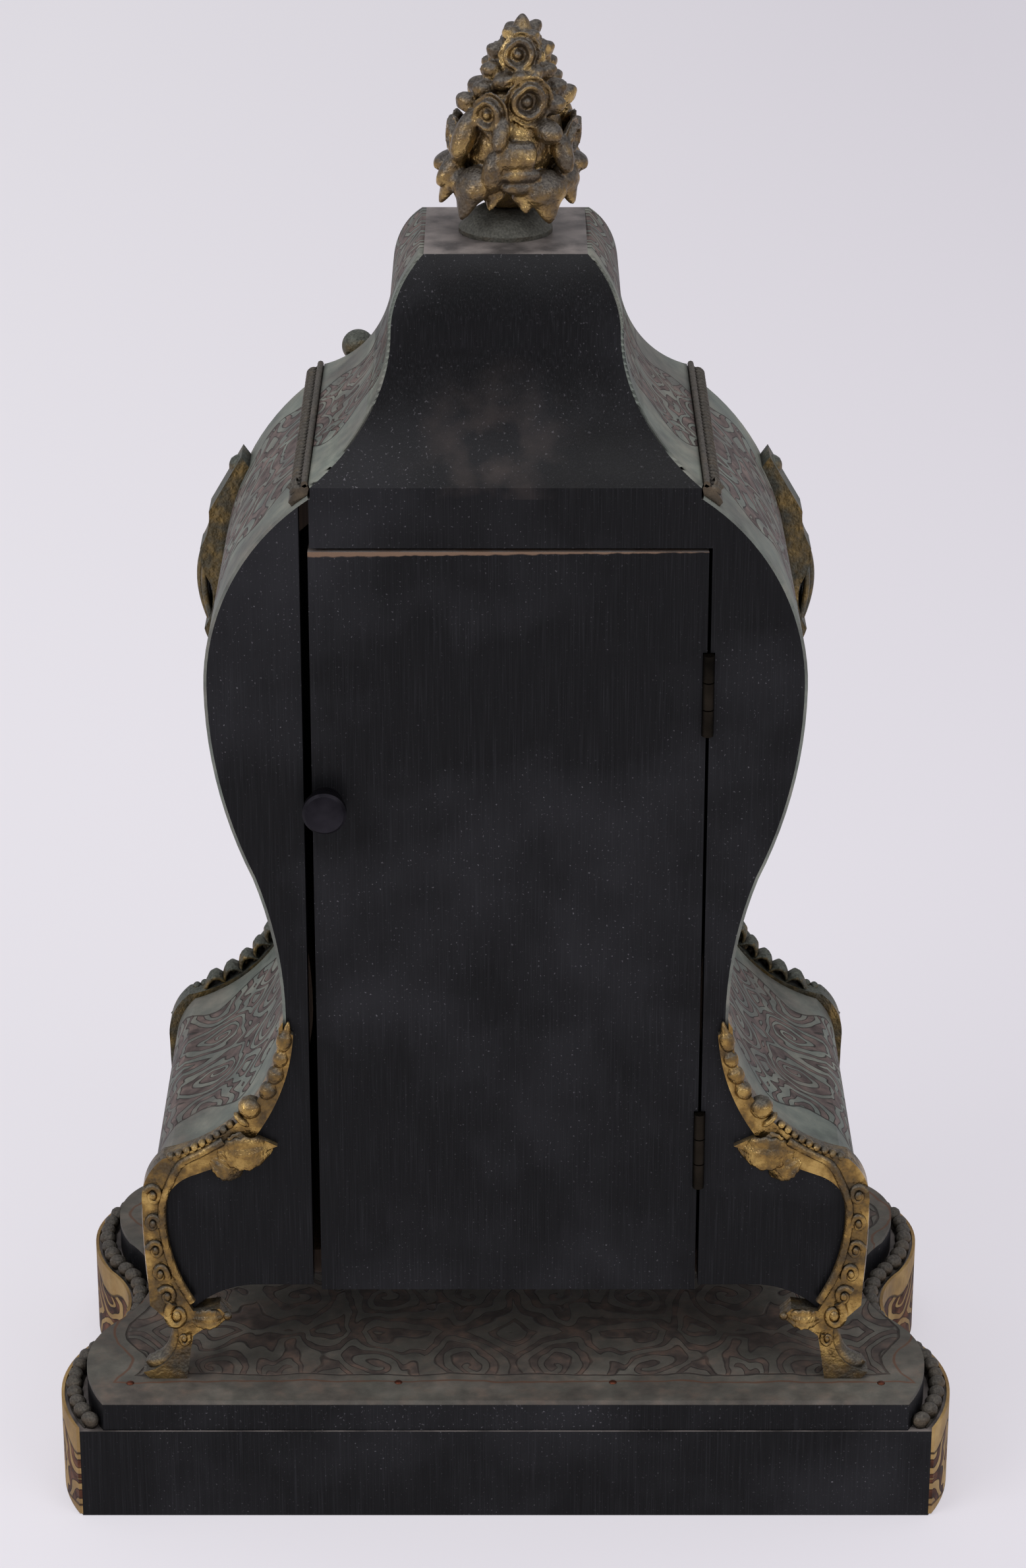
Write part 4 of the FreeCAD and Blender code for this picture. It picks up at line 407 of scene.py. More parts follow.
def ebonised_wood(name, edge=None, highlight_at=None):
    """Pear wood stained and polished black, dulled with age: satin, with fine upright scratches, grey
    rubbed patches, specks, and brown dust on whatever faces up. edge is a height where bare wood shows
    at a chipped edge; round the spot given last a painted highlight lightens the black to brown."""
    paint, tree, shader, place = new_finish(name, {"Specular IOR Level": 0.13})
    where = place["Object"]
    # Scratches and grain 0.35 mm wide run upright
    stretched = node(tree, "ShaderNodeMapping", {"Vector": where, "Scale": (per(0.35), per(0.35), per(22))})
    grain = node(tree, "ShaderNodeTexNoise", {"Vector": stretched.outputs[0], "Scale": 1.0, "Detail": 4.0})
    patches = node(tree, "ShaderNodeTexNoise", {"Vector": where, "Scale": per(45), "Detail": 3.0})
    small = node(tree, "ShaderNodeTexNoise", {"Vector": where, "Scale": per(11), "Detail": 4.0})
    specks = node(tree, "ShaderNodeTexNoise", {"Vector": where, "Scale": per(0.8), "Detail": 1.0})
    body = node(tree, "ShaderNodeValToRGB", {0: grain.outputs[0]},
                [(0.3, "#0a0a0c"), (0.56, "#111113"), (0.78, "#202023")])
    rubbed = node(tree, "ShaderNodeMapRange", {0: patches.outputs[0], 1: 0.45, 2: 0.75, 3: 0.0, 4: 0.45})
    hazy = node(tree, "ShaderNodeMix", {0: rubbed.outputs[0], 6: body.outputs[0], 7: colour("#313135")},
                data_type="RGBA")
    # Specks under a millimetre, thicker where the finish is rubbed
    dotted = node(tree, "ShaderNodeMapRange", {0: specks.outputs[0], 1: 0.67, 2: 0.77, 3: 0.0, 4: 0.55})
    there = node(tree, "ShaderNodeMapRange", {0: patches.outputs[0], 1: 0.4, 2: 0.65, 3: 0.15, 4: 1.0})
    amount = node(tree, "ShaderNodeMath", {0: dotted.outputs[0], 1: there.outputs[0]}, operation="MULTIPLY")
    seen = node(tree, "ShaderNodeMix", {0: amount.outputs[0], 6: hazy.outputs[2], 7: colour("#757378")},
                data_type="RGBA").outputs[2]
    # Painted highlight: round the given spot the black is lightened to brown in broken patches, a soft band
    # of light
    if highlight_at:
        near = node(tree, "ShaderNodeVectorMath", {0: where, 1: highlight_at},
                    operation="DISTANCE").outputs["Value"]
        close_by = node(tree, "ShaderNodeMapRange", {0: near, 1: 0.004, 2: 0.03, 3: 0.7, 4: 0.0})
        blotch = node(tree, "ShaderNodeMapRange", {0: small.outputs[0], 1: 0.45, 2: 0.7, 3: 0.0, 4: 1.0})
        painted_highlight = node(tree, "ShaderNodeMath", {0: close_by.outputs[0], 1: blotch.outputs[0]},
                    operation="MULTIPLY")
        seen = node(tree, "ShaderNodeMix", {0: painted_highlight.outputs[0], 6: seen, 7: colour("#3b3432")},
                    data_type="RGBA").outputs[2]
    if edge:
        # The bare strip is about a millimetre high and runs a little out of level
        height = node(tree, "ShaderNodeVectorMath", {0: where, 1: (0.012, 0, 1)},
                      operation="DOT_PRODUCT").outputs["Value"]
        ragged = node(tree, "ShaderNodeTexNoise", {"Vector": where, "Scale": per(3.5), "Detail": 4.0})
        lifted = node(tree, "ShaderNodeMath", {0: ragged.outputs[0], 1: 0.0012, 2: height},
                      operation="MULTIPLY_ADD")
        bare = node(tree, "ShaderNodeMapRange",
                    {0: lifted.outputs[0], 1: edge - 0.0004, 2: edge, 3: 0.0, 4: 0.9})
        seen = node(tree, "ShaderNodeMix", {0: bare.outputs[0], 6: seen, 7: colour("#77604f")},
                    data_type="RGBA").outputs[2]
    level = node(tree, "ShaderNodeSeparateXYZ",
                 {0: node(tree, "ShaderNodeNewGeometry").outputs["Normal"]}).outputs[2]
    lying = node(tree, "ShaderNodeMapRange", {0: level, 1: 0.9, 2: 0.99, 3: 0.0, 4: 1.0})
    film = node(tree, "ShaderNodeMapRange", {0: small.outputs[0], 1: 0.36, 2: 0.6, 3: 0.3, 4: 1.0})
    dust = node(tree, "ShaderNodeMath", {0: lying.outputs[0], 1: film.outputs[0]}, operation="MULTIPLY")
    top = node(tree, "ShaderNodeMix", {0: dust.outputs[0], 6: seen, 7: colour("#7b7471")},
               data_type="RGBA").outputs[2]
    rough = node(tree, "ShaderNodeMapRange", {0: patches.outputs[0], 1: 0.35, 2: 0.75, 3: 0.36, 4: 0.58})
    bump = node(tree, "ShaderNodeBump", {"Strength": 0.25, "Distance": 0.0002, "Height": grain.outputs[0]})
    tree.links.new(top, shader.inputs["Base Color"])
    tree.links.new(rough.outputs[0], shader.inputs["Roughness"])
    tree.links.new(bump.outputs[0], shader.inputs["Normal"])
    return paint


def cast_bronze(name, gold, patina, hollow_shade_colour, dull, rough, patina_below=0.0):
    """Sand-cast bronze: gilding where faces stand upright or look down, patina and dust on whatever
    looks up, painted shade in the hollows and a grain of under a millimetre from the mould. dull moves the
    balance from gilding to patina, and below the height given last it all turns further towards patina."""
    paint, tree, shader, place = new_finish(name, {})
    where = place["Object"]
    cloud = node(tree, "ShaderNodeTexNoise",
                 {"Vector": where, "Scale": per(8), "Detail": 5.0, "Roughness": 0.6})
    grit = node(tree, "ShaderNodeTexNoise", {"Vector": where, "Scale": per(0.7), "Detail": 3.0})
    level = node(tree, "ShaderNodeSeparateXYZ",
                 {0: node(tree, "ShaderNodeNewGeometry").outputs["Normal"]}).outputs[2]
    lying = node(tree, "ShaderNodeMapRange", {0: level, 1: 0.1, 2: 0.75, 3: dull, 4: dull + 0.75})
    spread = node(tree, "ShaderNodeMapRange", {0: cloud.outputs[0], 1: 0.34, 2: 0.66, 3: -0.3, 4: 0.3})
    height = node(tree, "ShaderNodeSeparateXYZ", {0: where}).outputs[2]
    # Below the given height it all turns further towards patina: darker and duller towards the bottom
    low = node(tree, "ShaderNodeMapRange",
               {0: height, 1: patina_below - 0.01, 2: patina_below, 3: 0.55, 4: 0.0})
    towards_patina = node(tree, "ShaderNodeMath", {0: lying.outputs[0], 1: low.outputs[0]}, operation="ADD")
    mixed = node(tree, "ShaderNodeMath", {0: towards_patina.outputs[0], 1: spread.outputs[0]}, operation="ADD",
                 use_clamp=True).outputs[0]
    bright = node(tree, "ShaderNodeValToRGB", {0: cloud.outputs[0]},
                  list(zip((0.34, 0.48, 0.62), gold[::-1])))
    old = node(tree, "ShaderNodeValToRGB", {0: grit.outputs[0]}, list(zip((0.35, 0.65), patina)))
    tone = node(tree, "ShaderNodeMix", {0: mixed, 6: bright.outputs[0], 7: old.outputs[0]},
                data_type="RGBA")
    # Painted shade: the AO node darkens the hollows towards the hollow colour, up to 0.85 where they are
    # most closed in
    open_sky = node(tree, "ShaderNodeAmbientOcclusion", {"Distance": 0.003}, samples=8)
    hollow_shade = node(tree, "ShaderNodeMapRange", {0: open_sky.outputs["AO"], 1: 0.3, 2: 0.8, 3: 0.85, 4: 0.0})
    seen = node(tree, "ShaderNodeMix", {0: hollow_shade.outputs[0], 6: tone.outputs[2], 7: colour(hollow_shade_colour)},
                data_type="RGBA")
    metal = node(tree, "ShaderNodeMapRange", {0: mixed, 3: 1.0, 4: 0.4})
    gloss = node(tree, "ShaderNodeMapRange", {0: mixed, 3: rough, 4: rough + 0.25})
    lumps = node(tree, "ShaderNodeTexNoise", {"Vector": where, "Scale": per(2.5), "Detail": 2.0})
    coarse = node(tree, "ShaderNodeBump", {"Strength": 0.6, "Distance": 0.0012, "Height": lumps.outputs[0]})
    bump = node(tree, "ShaderNodeBump",
                {"Strength": 0.5, "Distance": 0.0004, "Height": grit.outputs[0],
                 "Normal": coarse.outputs[0]})
    tree.links.new(seen.outputs[2], shader.inputs["Base Color"])
    tree.links.new(metal.outputs[0], shader.inputs["Metallic"])
    tree.links.new(gloss.outputs[0], shader.inputs["Roughness"])
    tree.links.new(bump.outputs[0], shader.inputs["Normal"])
    return paint


def marquetry(name, brass, shell, half, reach, lobe, cell, pitch, stem_share, grime_share=0.0, flat=False):
    """Sheet brass cut with leafy scrolls and let into tortoiseshell, gone grey-green and lifting with
    age: a plain brass border, a lobed field of shell, brass scrollwork in it, mirrored about the middle,
    and dark lines where they meet. half and reach are the field's half width and half length, lobe the
    swing of its edge, cell and pitch the size of a scroll and the spacing of its turns, all in millimetres.
    stem_share sets how wide the stems are, grime_share how much grime covers it where it is cleanest. A flat
    sheet reads the pattern from above, any other along its unrolled length."""
    paint, tree, shader, place = new_finish(name, {"Specular IOR Level": 0.12})
    source = place["Object"] if flat else place["UV"]
    # Hand-sawn lines wander by about a millimetre
    wander = node(tree, "ShaderNodeTexNoise", {"Vector": source, "Scale": per(15), "Detail": 2.0})
    drifted = node(tree, "ShaderNodeVectorMath", {0: wander.outputs[1], 1: (0.005, 0.005, 0), 2: source},
                   operation="MULTIPLY_ADD")
    millimetres = node(tree, "ShaderNodeVectorMath", {0: drifted.outputs[0], 3: 1000.0}, operation="SCALE")
    split = node(tree, "ShaderNodeSeparateXYZ", {0: millimetres.outputs[0]})
    wide = node(tree, "ShaderNodeMath", {0: split.outputs[0]}, operation="ABSOLUTE").outputs[0]
    tall = split.outputs[1]
    fold_a = node(tree, "ShaderNodeMath", {0: wide, 1: cell}, operation="PINGPONG")
    fold_b = node(tree, "ShaderNodeMath", {0: tall, 1: cell * 1.4}, operation="PINGPONG")
    a = node(tree, "ShaderNodeMath", {0: fold_a.outputs[0], 1: cell * 0.5}, operation="SUBTRACT").outputs[0]
    b = node(tree, "ShaderNodeMath", {0: fold_b.outputs[0], 1: cell * 0.6}, operation="SUBTRACT").outputs[0]
    spot = node(tree, "ShaderNodeCombineXYZ", {0: a, 1: b})
    reach_out = node(tree, "ShaderNodeVectorMath", {0: spot.outputs[0]},
                     operation="LENGTH").outputs["Value"]
    angle = node(tree, "ShaderNodeMath", {0: b, 1: a}, operation="ARCTAN2").outputs[0]
    turns = node(tree, "ShaderNodeMath", {0: reach_out, 1: 1 / pitch}, operation="MULTIPLY")
    wound = node(tree, "ShaderNodeMath", {0: angle, 1: 0.5 / math.pi, 2: turns.outputs[0]},
                 operation="MULTIPLY_ADD")
    # A slow flow, longer than it is wide, draws the scrolls out into leaves of no two shapes
    folded = node(tree, "ShaderNodeCombineXYZ", {0: wide, 1: tall})
    drawn = node(tree, "ShaderNodeMapping",
                 {"Vector": folded.outputs[0], "Scale": (1.6 / cell, 0.9 / cell, 1)})
    flow = node(tree, "ShaderNodeTexNoise",
                {"Vector": drawn.outputs[0], "Scale": 1.0, "Detail": 1.0, "Distortion": 0.6})
    swept = node(tree, "ShaderNodeMath", {0: flow.outputs[0], 1: 4.5, 2: wound.outputs[0]},
                 operation="MULTIPLY_ADD")
    band = node(tree, "ShaderNodeMath", {0: swept.outputs[0], 1: 0.5}, operation="PINGPONG").outputs[0]
    swell = node(tree, "ShaderNodeMath", {0: flow.outputs[0], 1: 0.5, 2: stem_share - 0.25},
                 operation="MULTIPLY_ADD").outputs[0]
    inside = node(tree, "ShaderNodeMath", {0: swell, 1: band}, operation="SUBTRACT").outputs[0]
    stem = node(tree, "ShaderNodeMapRange", {0: inside, 1: -0.015, 2: 0.015, 3: 0.0, 4: 1.0}).outputs[0]
    # The field's edge is lobed
    swing = node(tree, "ShaderNodeMath", {0: tall, 1: 2 * math.pi / (cell * 1.4)}, operation="MULTIPLY")
    lobes = node(tree, "ShaderNodeMath", {0: swing.outputs[0]}, operation="COSINE")
    edge = node(tree, "ShaderNodeMath", {0: lobes.outputs[0], 1: lobe, 2: half},
                operation="MULTIPLY_ADD").outputs[0]
    side = node(tree, "ShaderNodeMath", {0: edge, 1: wide}, operation="SUBTRACT").outputs[0]
    far = node(tree, "ShaderNodeMath", {0: tall}, operation="ABSOLUTE").outputs[0]
    end = node(tree, "ShaderNodeMath", {0: reach, 1: far}, operation="SUBTRACT").outputs[0]
    nearest = node(tree, "ShaderNodeMath", {0: side, 1: end}, operation="MINIMUM").outputs[0]
    field = node(tree, "ShaderNodeMapRange", {0: nearest, 1: -0.1, 2: 0.1, 3: 0.0, 4: 1.0}).outputs[0]
    open_shell = node(tree, "ShaderNodeMath", {0: 1.0, 1: stem}, operation="SUBTRACT").outputs[0]
    ground = node(tree, "ShaderNodeMath", {0: open_shell, 1: field}, operation="MULTIPLY").outputs[0]
    # Saw lines: dark where the two sheets meet
    gap_a = node(tree, "ShaderNodeMath", {0: inside}, operation="ABSOLUTE").outputs[0]
    cut_a = node(tree, "ShaderNodeMapRange", {0: gap_a, 1: 0.015, 2: 0.045, 3: 0.8, 4: 0.0}).outputs[0]
    held = node(tree, "ShaderNodeMath", {0: cut_a, 1: field}, operation="MULTIPLY").outputs[0]
    gap_b = node(tree, "ShaderNodeMath", {0: nearest}, operation="ABSOLUTE").outputs[0]
    cut_b = node(tree, "ShaderNodeMapRange", {0: gap_b, 1: 0.2, 2: 0.6, 3: 0.8, 4: 0.0}).outputs[0]
    saw = node(tree, "ShaderNodeMath", {0: held, 1: cut_b}, operation="MAXIMUM").outputs[0]
    cloud = node(tree, "ShaderNodeTexNoise",
                 {"Vector": place["Object"], "Scale": per(16), "Detail": 5.0, "Roughness": 0.65})
    mottle = node(tree, "ShaderNodeTexNoise", {"Vector": place["Object"], "Scale": per(5), "Detail": 3.0})
    metal = node(tree, "ShaderNodeValToRGB", {0: cloud.outputs[0]},
                 list(zip((0.32, 0.5, 0.68), brass))).outputs[0]
    horn = node(tree, "ShaderNodeValToRGB", {0: mottle.outputs[0]},
                list(zip((0.35, 0.52, 0.7), shell))).outputs[0]
    inlaid = node(tree, "ShaderNodeMix", {0: ground, 6: metal, 7: horn}, data_type="RGBA").outputs[2]
    lined = node(tree, "ShaderNodeMix", {0: saw, 6: inlaid, 7: colour("#1d1918")},
                 data_type="RGBA").outputs[2]
    # Old grime evens out the two sheets in patches of about 30 mm
    patches = node(tree, "ShaderNodeTexNoise", {"Vector": place["Object"], "Scale": per(30), "Detail": 5.0})
    grime = node(tree, "ShaderNodeMapRange",
                 {0: patches.outputs[0], 1: 0.35, 2: 0.65, 3: grime_share, 4: grime_share + 0.45})
    lined = node(tree, "ShaderNodeMix", {0: grime.outputs[0], 6: lined, 7: horn},
                 data_type="RGBA").outputs[2]
    if flat:
        # A copper fillet half a millimetre wide runs round the border
        off = node(tree, "ShaderNodeMath", {0: nearest, 1: 4.5}, operation="ADD").outputs[0]
        near = node(tree, "ShaderNodeMath", {0: off}, operation="ABSOLUTE").outputs[0]
        fillet = node(tree, "ShaderNodeMapRange", {0: near, 1: 0.25, 2: 0.6, 3: 0.75, 4: 0.0}).outputs[0]
        lined = node(tree, "ShaderNodeMix", {0: fillet, 6: lined, 7: colour("#5e4132")},
                     data_type="RGBA").outputs[2]
    bright = node(tree, "ShaderNodeMapRange", {0: ground, 3: 0.15, 4: 0.0}).outputs[0]
    rough = node(tree, "ShaderNodeMapRange",
                 {0: cloud.outputs[0], 1: 0.3, 2: 0.7, 3: 0.5, 4: 0.7}).outputs[0]
    raised = node(tree, "ShaderNodeMath", {0: cloud.outputs[0], 1: 0.9, 2: bright},
                  operation="MULTIPLY_ADD").outputs[0]
    sunk = node(tree, "ShaderNodeMath", {0: saw, 1: -0.8, 2: raised}, operation="MULTIPLY_ADD").outputs[0]
    bump = node(tree, "ShaderNodeBump", {"Strength": 0.8, "Distance": 0.0008, "Height": sunk})
    tree.links.new(lined, shader.inputs["Base Color"])
    tree.links.new(bright, shader.inputs["Metallic"])
    tree.links.new(rough, shader.inputs["Roughness"])
    tree.links.new(bump.outputs[0], shader.inputs["Normal"])
    return paint


def oak(name):
    """Plain oak inside the case: pale brown, open upright grain about 1 mm wide, no polish."""
    paint, tree, shader, place = new_finish(name, {"Roughness": 0.7})
    stretched = node(tree, "ShaderNodeMapping",
                     {"Vector": place["Object"], "Scale": (per(1), per(1), per(40))})
    grain = node(tree, "ShaderNodeTexNoise", {"Vector": stretched.outputs[0], "Scale": 1.0, "Detail": 5.0})
    tone = node(tree, "ShaderNodeValToRGB", {0: grain.outputs[0]},
                [(0.3, "#2b1f15"), (0.55, "#4a3726"), (0.75, "#5c4630")]).outputs[0]
    bump = node(tree, "ShaderNodeBump", {"Strength": 0.4, "Distance": 0.0003, "Height": grain.outputs[0]})
    tree.links.new(tone, shader.inputs["Base Color"])
    tree.links.new(bump.outputs[0], shader.inputs["Normal"])
    return paint


def worked_metal(name, dark, light, line, rough):
    """Brass or steel finished on a lathe or with a file: fine lines, drawn a little coarser than
    the real tenth of a millimetre so that they show, and clouds of old oil."""
    paint, tree, shader, place = new_finish(name, {"Metallic": 1.0})
    cloud = node(tree, "ShaderNodeTexNoise", {"Vector": place["Object"], "Scale": per(12), "Detail": 4.0})
    fine = node(tree, "ShaderNodeTexNoise", {"Vector": place["Object"], "Scale": per(line), "Detail": 2.0})
    tone = node(tree, "ShaderNodeValToRGB", {0: cloud.outputs[0]}, [(0.3, dark), (0.65, light)]).outputs[0]
    gloss = node(tree, "ShaderNodeMapRange",
                 {0: cloud.outputs[0], 1: 0.3, 2: 0.7, 3: rough + 0.15, 4: rough})
    bump = node(tree, "ShaderNodeBump", {"Strength": 0.2, "Distance": 0.0001, "Height": fine.outputs[0]})
    tree.links.new(tone, shader.inputs["Base Color"])
    tree.links.new(gloss.outputs[0], shader.inputs["Roughness"])
    tree.links.new(bump.outputs[0], shader.inputs["Normal"])
    return paint


def enamel(name):
    """White enamel fired on copper: glossy, a warm white with a faint ripple 8 mm long."""
    paint, tree, shader, place = new_finish(name, {"Roughness": 0.14, "Coat Weight": 0.4})
    ripple = node(tree, "ShaderNodeTexNoise", {"Vector": place["Object"], "Scale": per(8), "Detail": 2.0})
    tone = node(tree, "ShaderNodeValToRGB", {0: ripple.outputs[0]},
                [(0.3, "#ded8c8"), (0.7, "#e9e5d9")]).outputs[0]
    bump = node(tree, "ShaderNodeBump", {"Strength": 0.08, "Distance": 0.0003, "Height": ripple.outputs[0]})
    tree.links.new(tone, shader.inputs["Base Color"])
    tree.links.new(bump.outputs[0], shader.inputs["Normal"])
    return paint


def glass(name):
    """Thin drawn glass: clear, with the slight waves of an old pane."""
    paint, tree, shader, place = new_finish(
        name, {"Base Color": colour("#f4f7f6"), "Roughness": 0.02, "Transmission Weight": 1.0, "IOR": 1.5})
    waves = node(tree, "ShaderNodeTexNoise", {"Vector": place["Object"], "Scale": per(18), "Detail": 1.0})
    bump = node(tree, "ShaderNodeBump", {"Strength": 0.05, "Distance": 0.0003, "Height": waves.outputs[0]})
    tree.links.new(bump.outputs[0], shader.inputs["Normal"])
    return paint


GREEN_BRASS = ("#575d59", "#70766f", "#8a8c82")
SIDE_SHELL = ("#473e3c", "#5d524f", "#73645e")
TOP_BRASS = ("#4d4d48", "#63635c", "#7c7971")
TOP_SHELL = ("#413a37", "#514843", "#67564d")
BAND_BRASS = ("#7d6746", "#9c8053", "#b59a6a")
BAND_SHELL = ("#2c1b15", "#4d2f22", "#6a4632")
OLD_GOLD = ("#5c4726", "#8f7140", "#bd9d5f")
DULL_GOLD = ("#4a3c27", "#6d5934", "#8f7647")
FLOWER_GOLD = ("#654f2e", "#957746", "#c6a76b")
BROWN_GOLD = ("#433b30", "#554b3e", "#685d4e")

black = ebonised_wood("ebonised_pearwood_polished")
black_door = ebonised_wood("ebonised_pearwood_door", edge=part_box("back_door")[1][2])
# The cap's black carries a painted highlight round this spot, low on its back
black_cap = ebonised_wood("ebonised_pearwood_cap", highlight_at=(0.004, 0.055, 0.348))
# The fourth colour of each cast bronze is the painted shade in its hollows
gilt = cast_bronze("gilt_bronze_cast", OLD_GOLD, ("#3d3832", "#5a564c"), "#1d1811", 0.12, 0.26, 0.056)
gilt_dull = cast_bronze("gilt_bronze_patinated", DULL_GOLD, ("#3d403a", "#595c54"), "#201e19", 0.48, 0.36)
flower_bronze = cast_bronze(
    "gilt_bronze_cast_flowers", FLOWER_GOLD, ("#37322d", "#5c564e"), "#3a2a12", 0.42, 0.17)
dusty_bronze = cast_bronze("bronze_cast_dusty", BROWN_GOLD, ("#464640", "#5f5e57"), "#262622", 0.8, 0.45)
dark_bronze = cast_bronze("bronze_cast_dark", BROWN_GOLD, ("#3b3833", "#57524b"), "#1f1c19", 0.3, 0.42)
side_marquetry = marquetry(
    "brass_and_shell_marquetry_sides", GREEN_BRASS, SIDE_SHELL, 40, 190, 4.5, 24, 6, 0.24)
cap_marquetry = marquetry("brass_and_shell_marquetry_cap", GREEN_BRASS, SIDE_SHELL, 26, 60, 4, 19, 5, 0.24)
top_marquetry = marquetry(
    "brass_and_shell_marquetry_plinth", TOP_BRASS, TOP_SHELL, 121, 66, 4, 28, 8, 0.3, 0.3, flat=True)
band_marquetry = marquetry(
    "brass_and_shell_marquetry_band", BAND_BRASS, BAND_SHELL, 11, 900, 1.5, 19, 6, 0.24)
oak_board = oak("oak_planed")
movement_brass = worked_metal("brass_lacquered_turned", "#a17e42", "#bf9a56", 0.25, 0.28)
dark_brass = worked_metal("brass_blackened_rolled", "#151310", "#2b2620", 0.5, 0.5)
knob_iron = worked_metal("iron_blackened_turned", "#17161a", "#302e33", 0.5, 0.42)
steel = worked_metal("steel_polished_turned", "#6c6e72", "#a3a6aa", 0.2, 0.25)
blued = worked_metal("steel_blued", "#101426", "#26335c", 0.2, 0.25)
dial_white = enamel("enamel_white_fired")
clear_glass = glass("glass_drawn_clear")

FINISHES = [
    (black, ("front_board", "back_stile_left", "back_stile_right", "back_top_rail", "plinth_block",
             "plinth_slab")),
    (black_door, ("back_door",)),
    (black_cap, ("cap_body",)),
    (oak_board, ("case_side_left", "case_side_right", "case_floor")),
    (top_marquetry, ("plinth_top_plate",)),
    (side_marquetry, ("side_veneer_left", "side_veneer_right")),
    (cap_marquetry, ("cap_veneer_left", "cap_veneer_right")),
    (band_marquetry, ("plinth_side_band",)),
    (gilt, ("rear_leg_mount_left", "rear_leg_mount_right", "bezel")),
    (gilt_dull, ("front_leg_mount_left", "front_leg_mount_right", "shoulder_mount_left",
                 "shoulder_mount_right", "corner_ball")),
    (flower_bronze, ("finial_bouquet",)),
    (dusty_bronze, ("finial_foot",)),
    (dark_bronze, ("ridge_moulding_left", "ridge_moulding_right", "bead_moulding_left",
                   "bead_moulding_right")),
    (dark_brass, ("door_hinge_leaves", "case_hinge_leaves", "bezel_hinge", "latch_tongue")),
    (knob_iron, ("door_knob",)),
    (movement_brass, ("front_plate", "back_plate", "plate_pillars", "dial_pillars", "barrel",
                      "second_wheel")),
    (movement_brass, ("centre_wheel", "third_wheel", "escape_wheel", "cannon_pinion", "minute_wheel")),
    (movement_brass, ("hour_wheel", "suspension_cock", "pendulum_bob", "rating_nut")),
    (steel, ("winding_arbor", "click", "anchor", "pendulum_rod")),
    (blued, ("mainspring", "hour_hand", "minute_hand")),
    (dial_white, ("dial_plate",)),
    (clear_glass, ("bezel_glass",)),
]
for paint, names in FINISHES:
    for name in names:
        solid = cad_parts[name]
        solid.data.materials.clear()
        solid.data.materials.append(paint)


def settle(piece, slot, *nodes):
    """Fixes a piece to the case and hides the CAD nodes it stands for; slot is not used."""
    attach(piece, "case")
    if nodes:
        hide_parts(*nodes)
    return piece


# Veneers: the sheets themselves, unrolled so that the scrollwork follows the curve

def unrolled(node_name, name, line, look, material, slot="metal_marquetry"):
    """A copy of a sheet with a UV map in metres: across it, and along the line it follows. look gives a
    vertex's place in the line's plane and its place across."""
    sheet = bpy.data.objects.new(name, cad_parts[node_name].data.copy())
    bpy.context.collection.objects.link(sheet)
    deselect()
    sheet.select_set(True)
    bpy.context.view_layer.objects.active = sheet
    bpy.ops.object.mode_set(mode="EDIT")
    bpy.ops.mesh.select_all(action="SELECT")
    bpy.ops.mesh.remove_doubles(threshold=0.000002)
    close(sheet, 30)
    run = lengths_along(line)
    middle = run[-1] / 2
    spots = [Vector(p) for p in line]

    def along(flat):
        best = (1e9, 0.0)
        for k in range(len(spots) - 1):
            way = spots[k + 1] - spots[k]
            share = min(max((flat - spots[k]).dot(way) / way.length_squared, 0.0), 1.0)
            best = min(best, ((flat - spots[k] - way * share).length, run[k] + way.length * share))
        return best[1] - middle

    places = [look(vertex.co) for vertex in sheet.data.vertices]
    flat_map = [(across, along(Vector(flat))) for flat, across in places]
    layer = sheet.data.uv_layers[0] if sheet.data.uv_layers else sheet.data.uv_layers.new(name="unrolled")
    for loop in sheet.data.loops:
        layer.data[loop.index].uv = flat_map[loop.vertex_index]
    sheet.data.materials.clear()
    sheet.data.materials.append(material)
    return settle(sheet, slot, node_name)


side_line, cap_line = case_outline(0.9), cap_outline()
for side in ("left", "right"):
    unrolled(f"side_veneer_{side}", f"side_marquetry_{side}", side_line,
             lambda p: ((abs(p.x), p.z), p.y - CASE_MIDDLE), side_marquetry)
    unrolled(f"cap_veneer_{side}", f"cap_marquetry_{side}", cap_line,
             lambda p: ((abs(p.x), p.z), p.y - CASE_MIDDLE), cap_marquetry)
unrolled("plinth_side_band", "plinth_band_marquetry", plinth_line(0.0),
         lambda p: ((abs(p.x), p.y), p.z - 16 * MM), band_marquetry, "brass_band")


# Cast pieces

leaf, blossom, bead, husk = leaf_shape(), petal_ring(), bead_shape(), husk_shape()


def bead_rows():
    """Rows of beads, slanted like a rope and no two quite alike, on a low strip along the plinth's ledge."""
    radius = 2.85 * MM
    row_inset, rear_inset, overlap = 4.25, 2.9, 0.97
    line = plinth_line(row_inset, rear_inset)
    for side, sign in (("left", 1), ("right", -1)):
        strip = bar("strip", [(sign * x, y, LEDGE) for x, y in line[::2]], [2.3 * MM] * len(line[::2]), 1)
        down, flatten = Matrix.Translation((0, 0, -LEDGE)), Matrix.Diagonal((1, 1, 0.6, 1))
        strip.data.transform(Matrix.Translation((0, 0, LEDGE + 0.1 * MM)) @ flatten @ down)
        pieces = [strip]
        for k, (spot, way) in enumerate(step_along(line, 2 * radius * overlap)[1:]):
            size = radius * (0.97 + 0.04 * math.sin(2.4 * k))
            at = (sign * spot.x, spot.y, LEDGE + size * 0.97)
            slant = Vector((way.x, way.y, 0)) + 0.7 * Vector((-way.y, way.x, 0))
            pieces.append(put(bead, "bead",
                              aim(at, (sign * slant.x, slant.y, 0), (0, 0, 1), size, (1.18, 0.9, 1))))
        settle(join(f"bead_row_{side}", pieces, dark_bronze), "dark_bronze", f"bead_moulding_{side}")


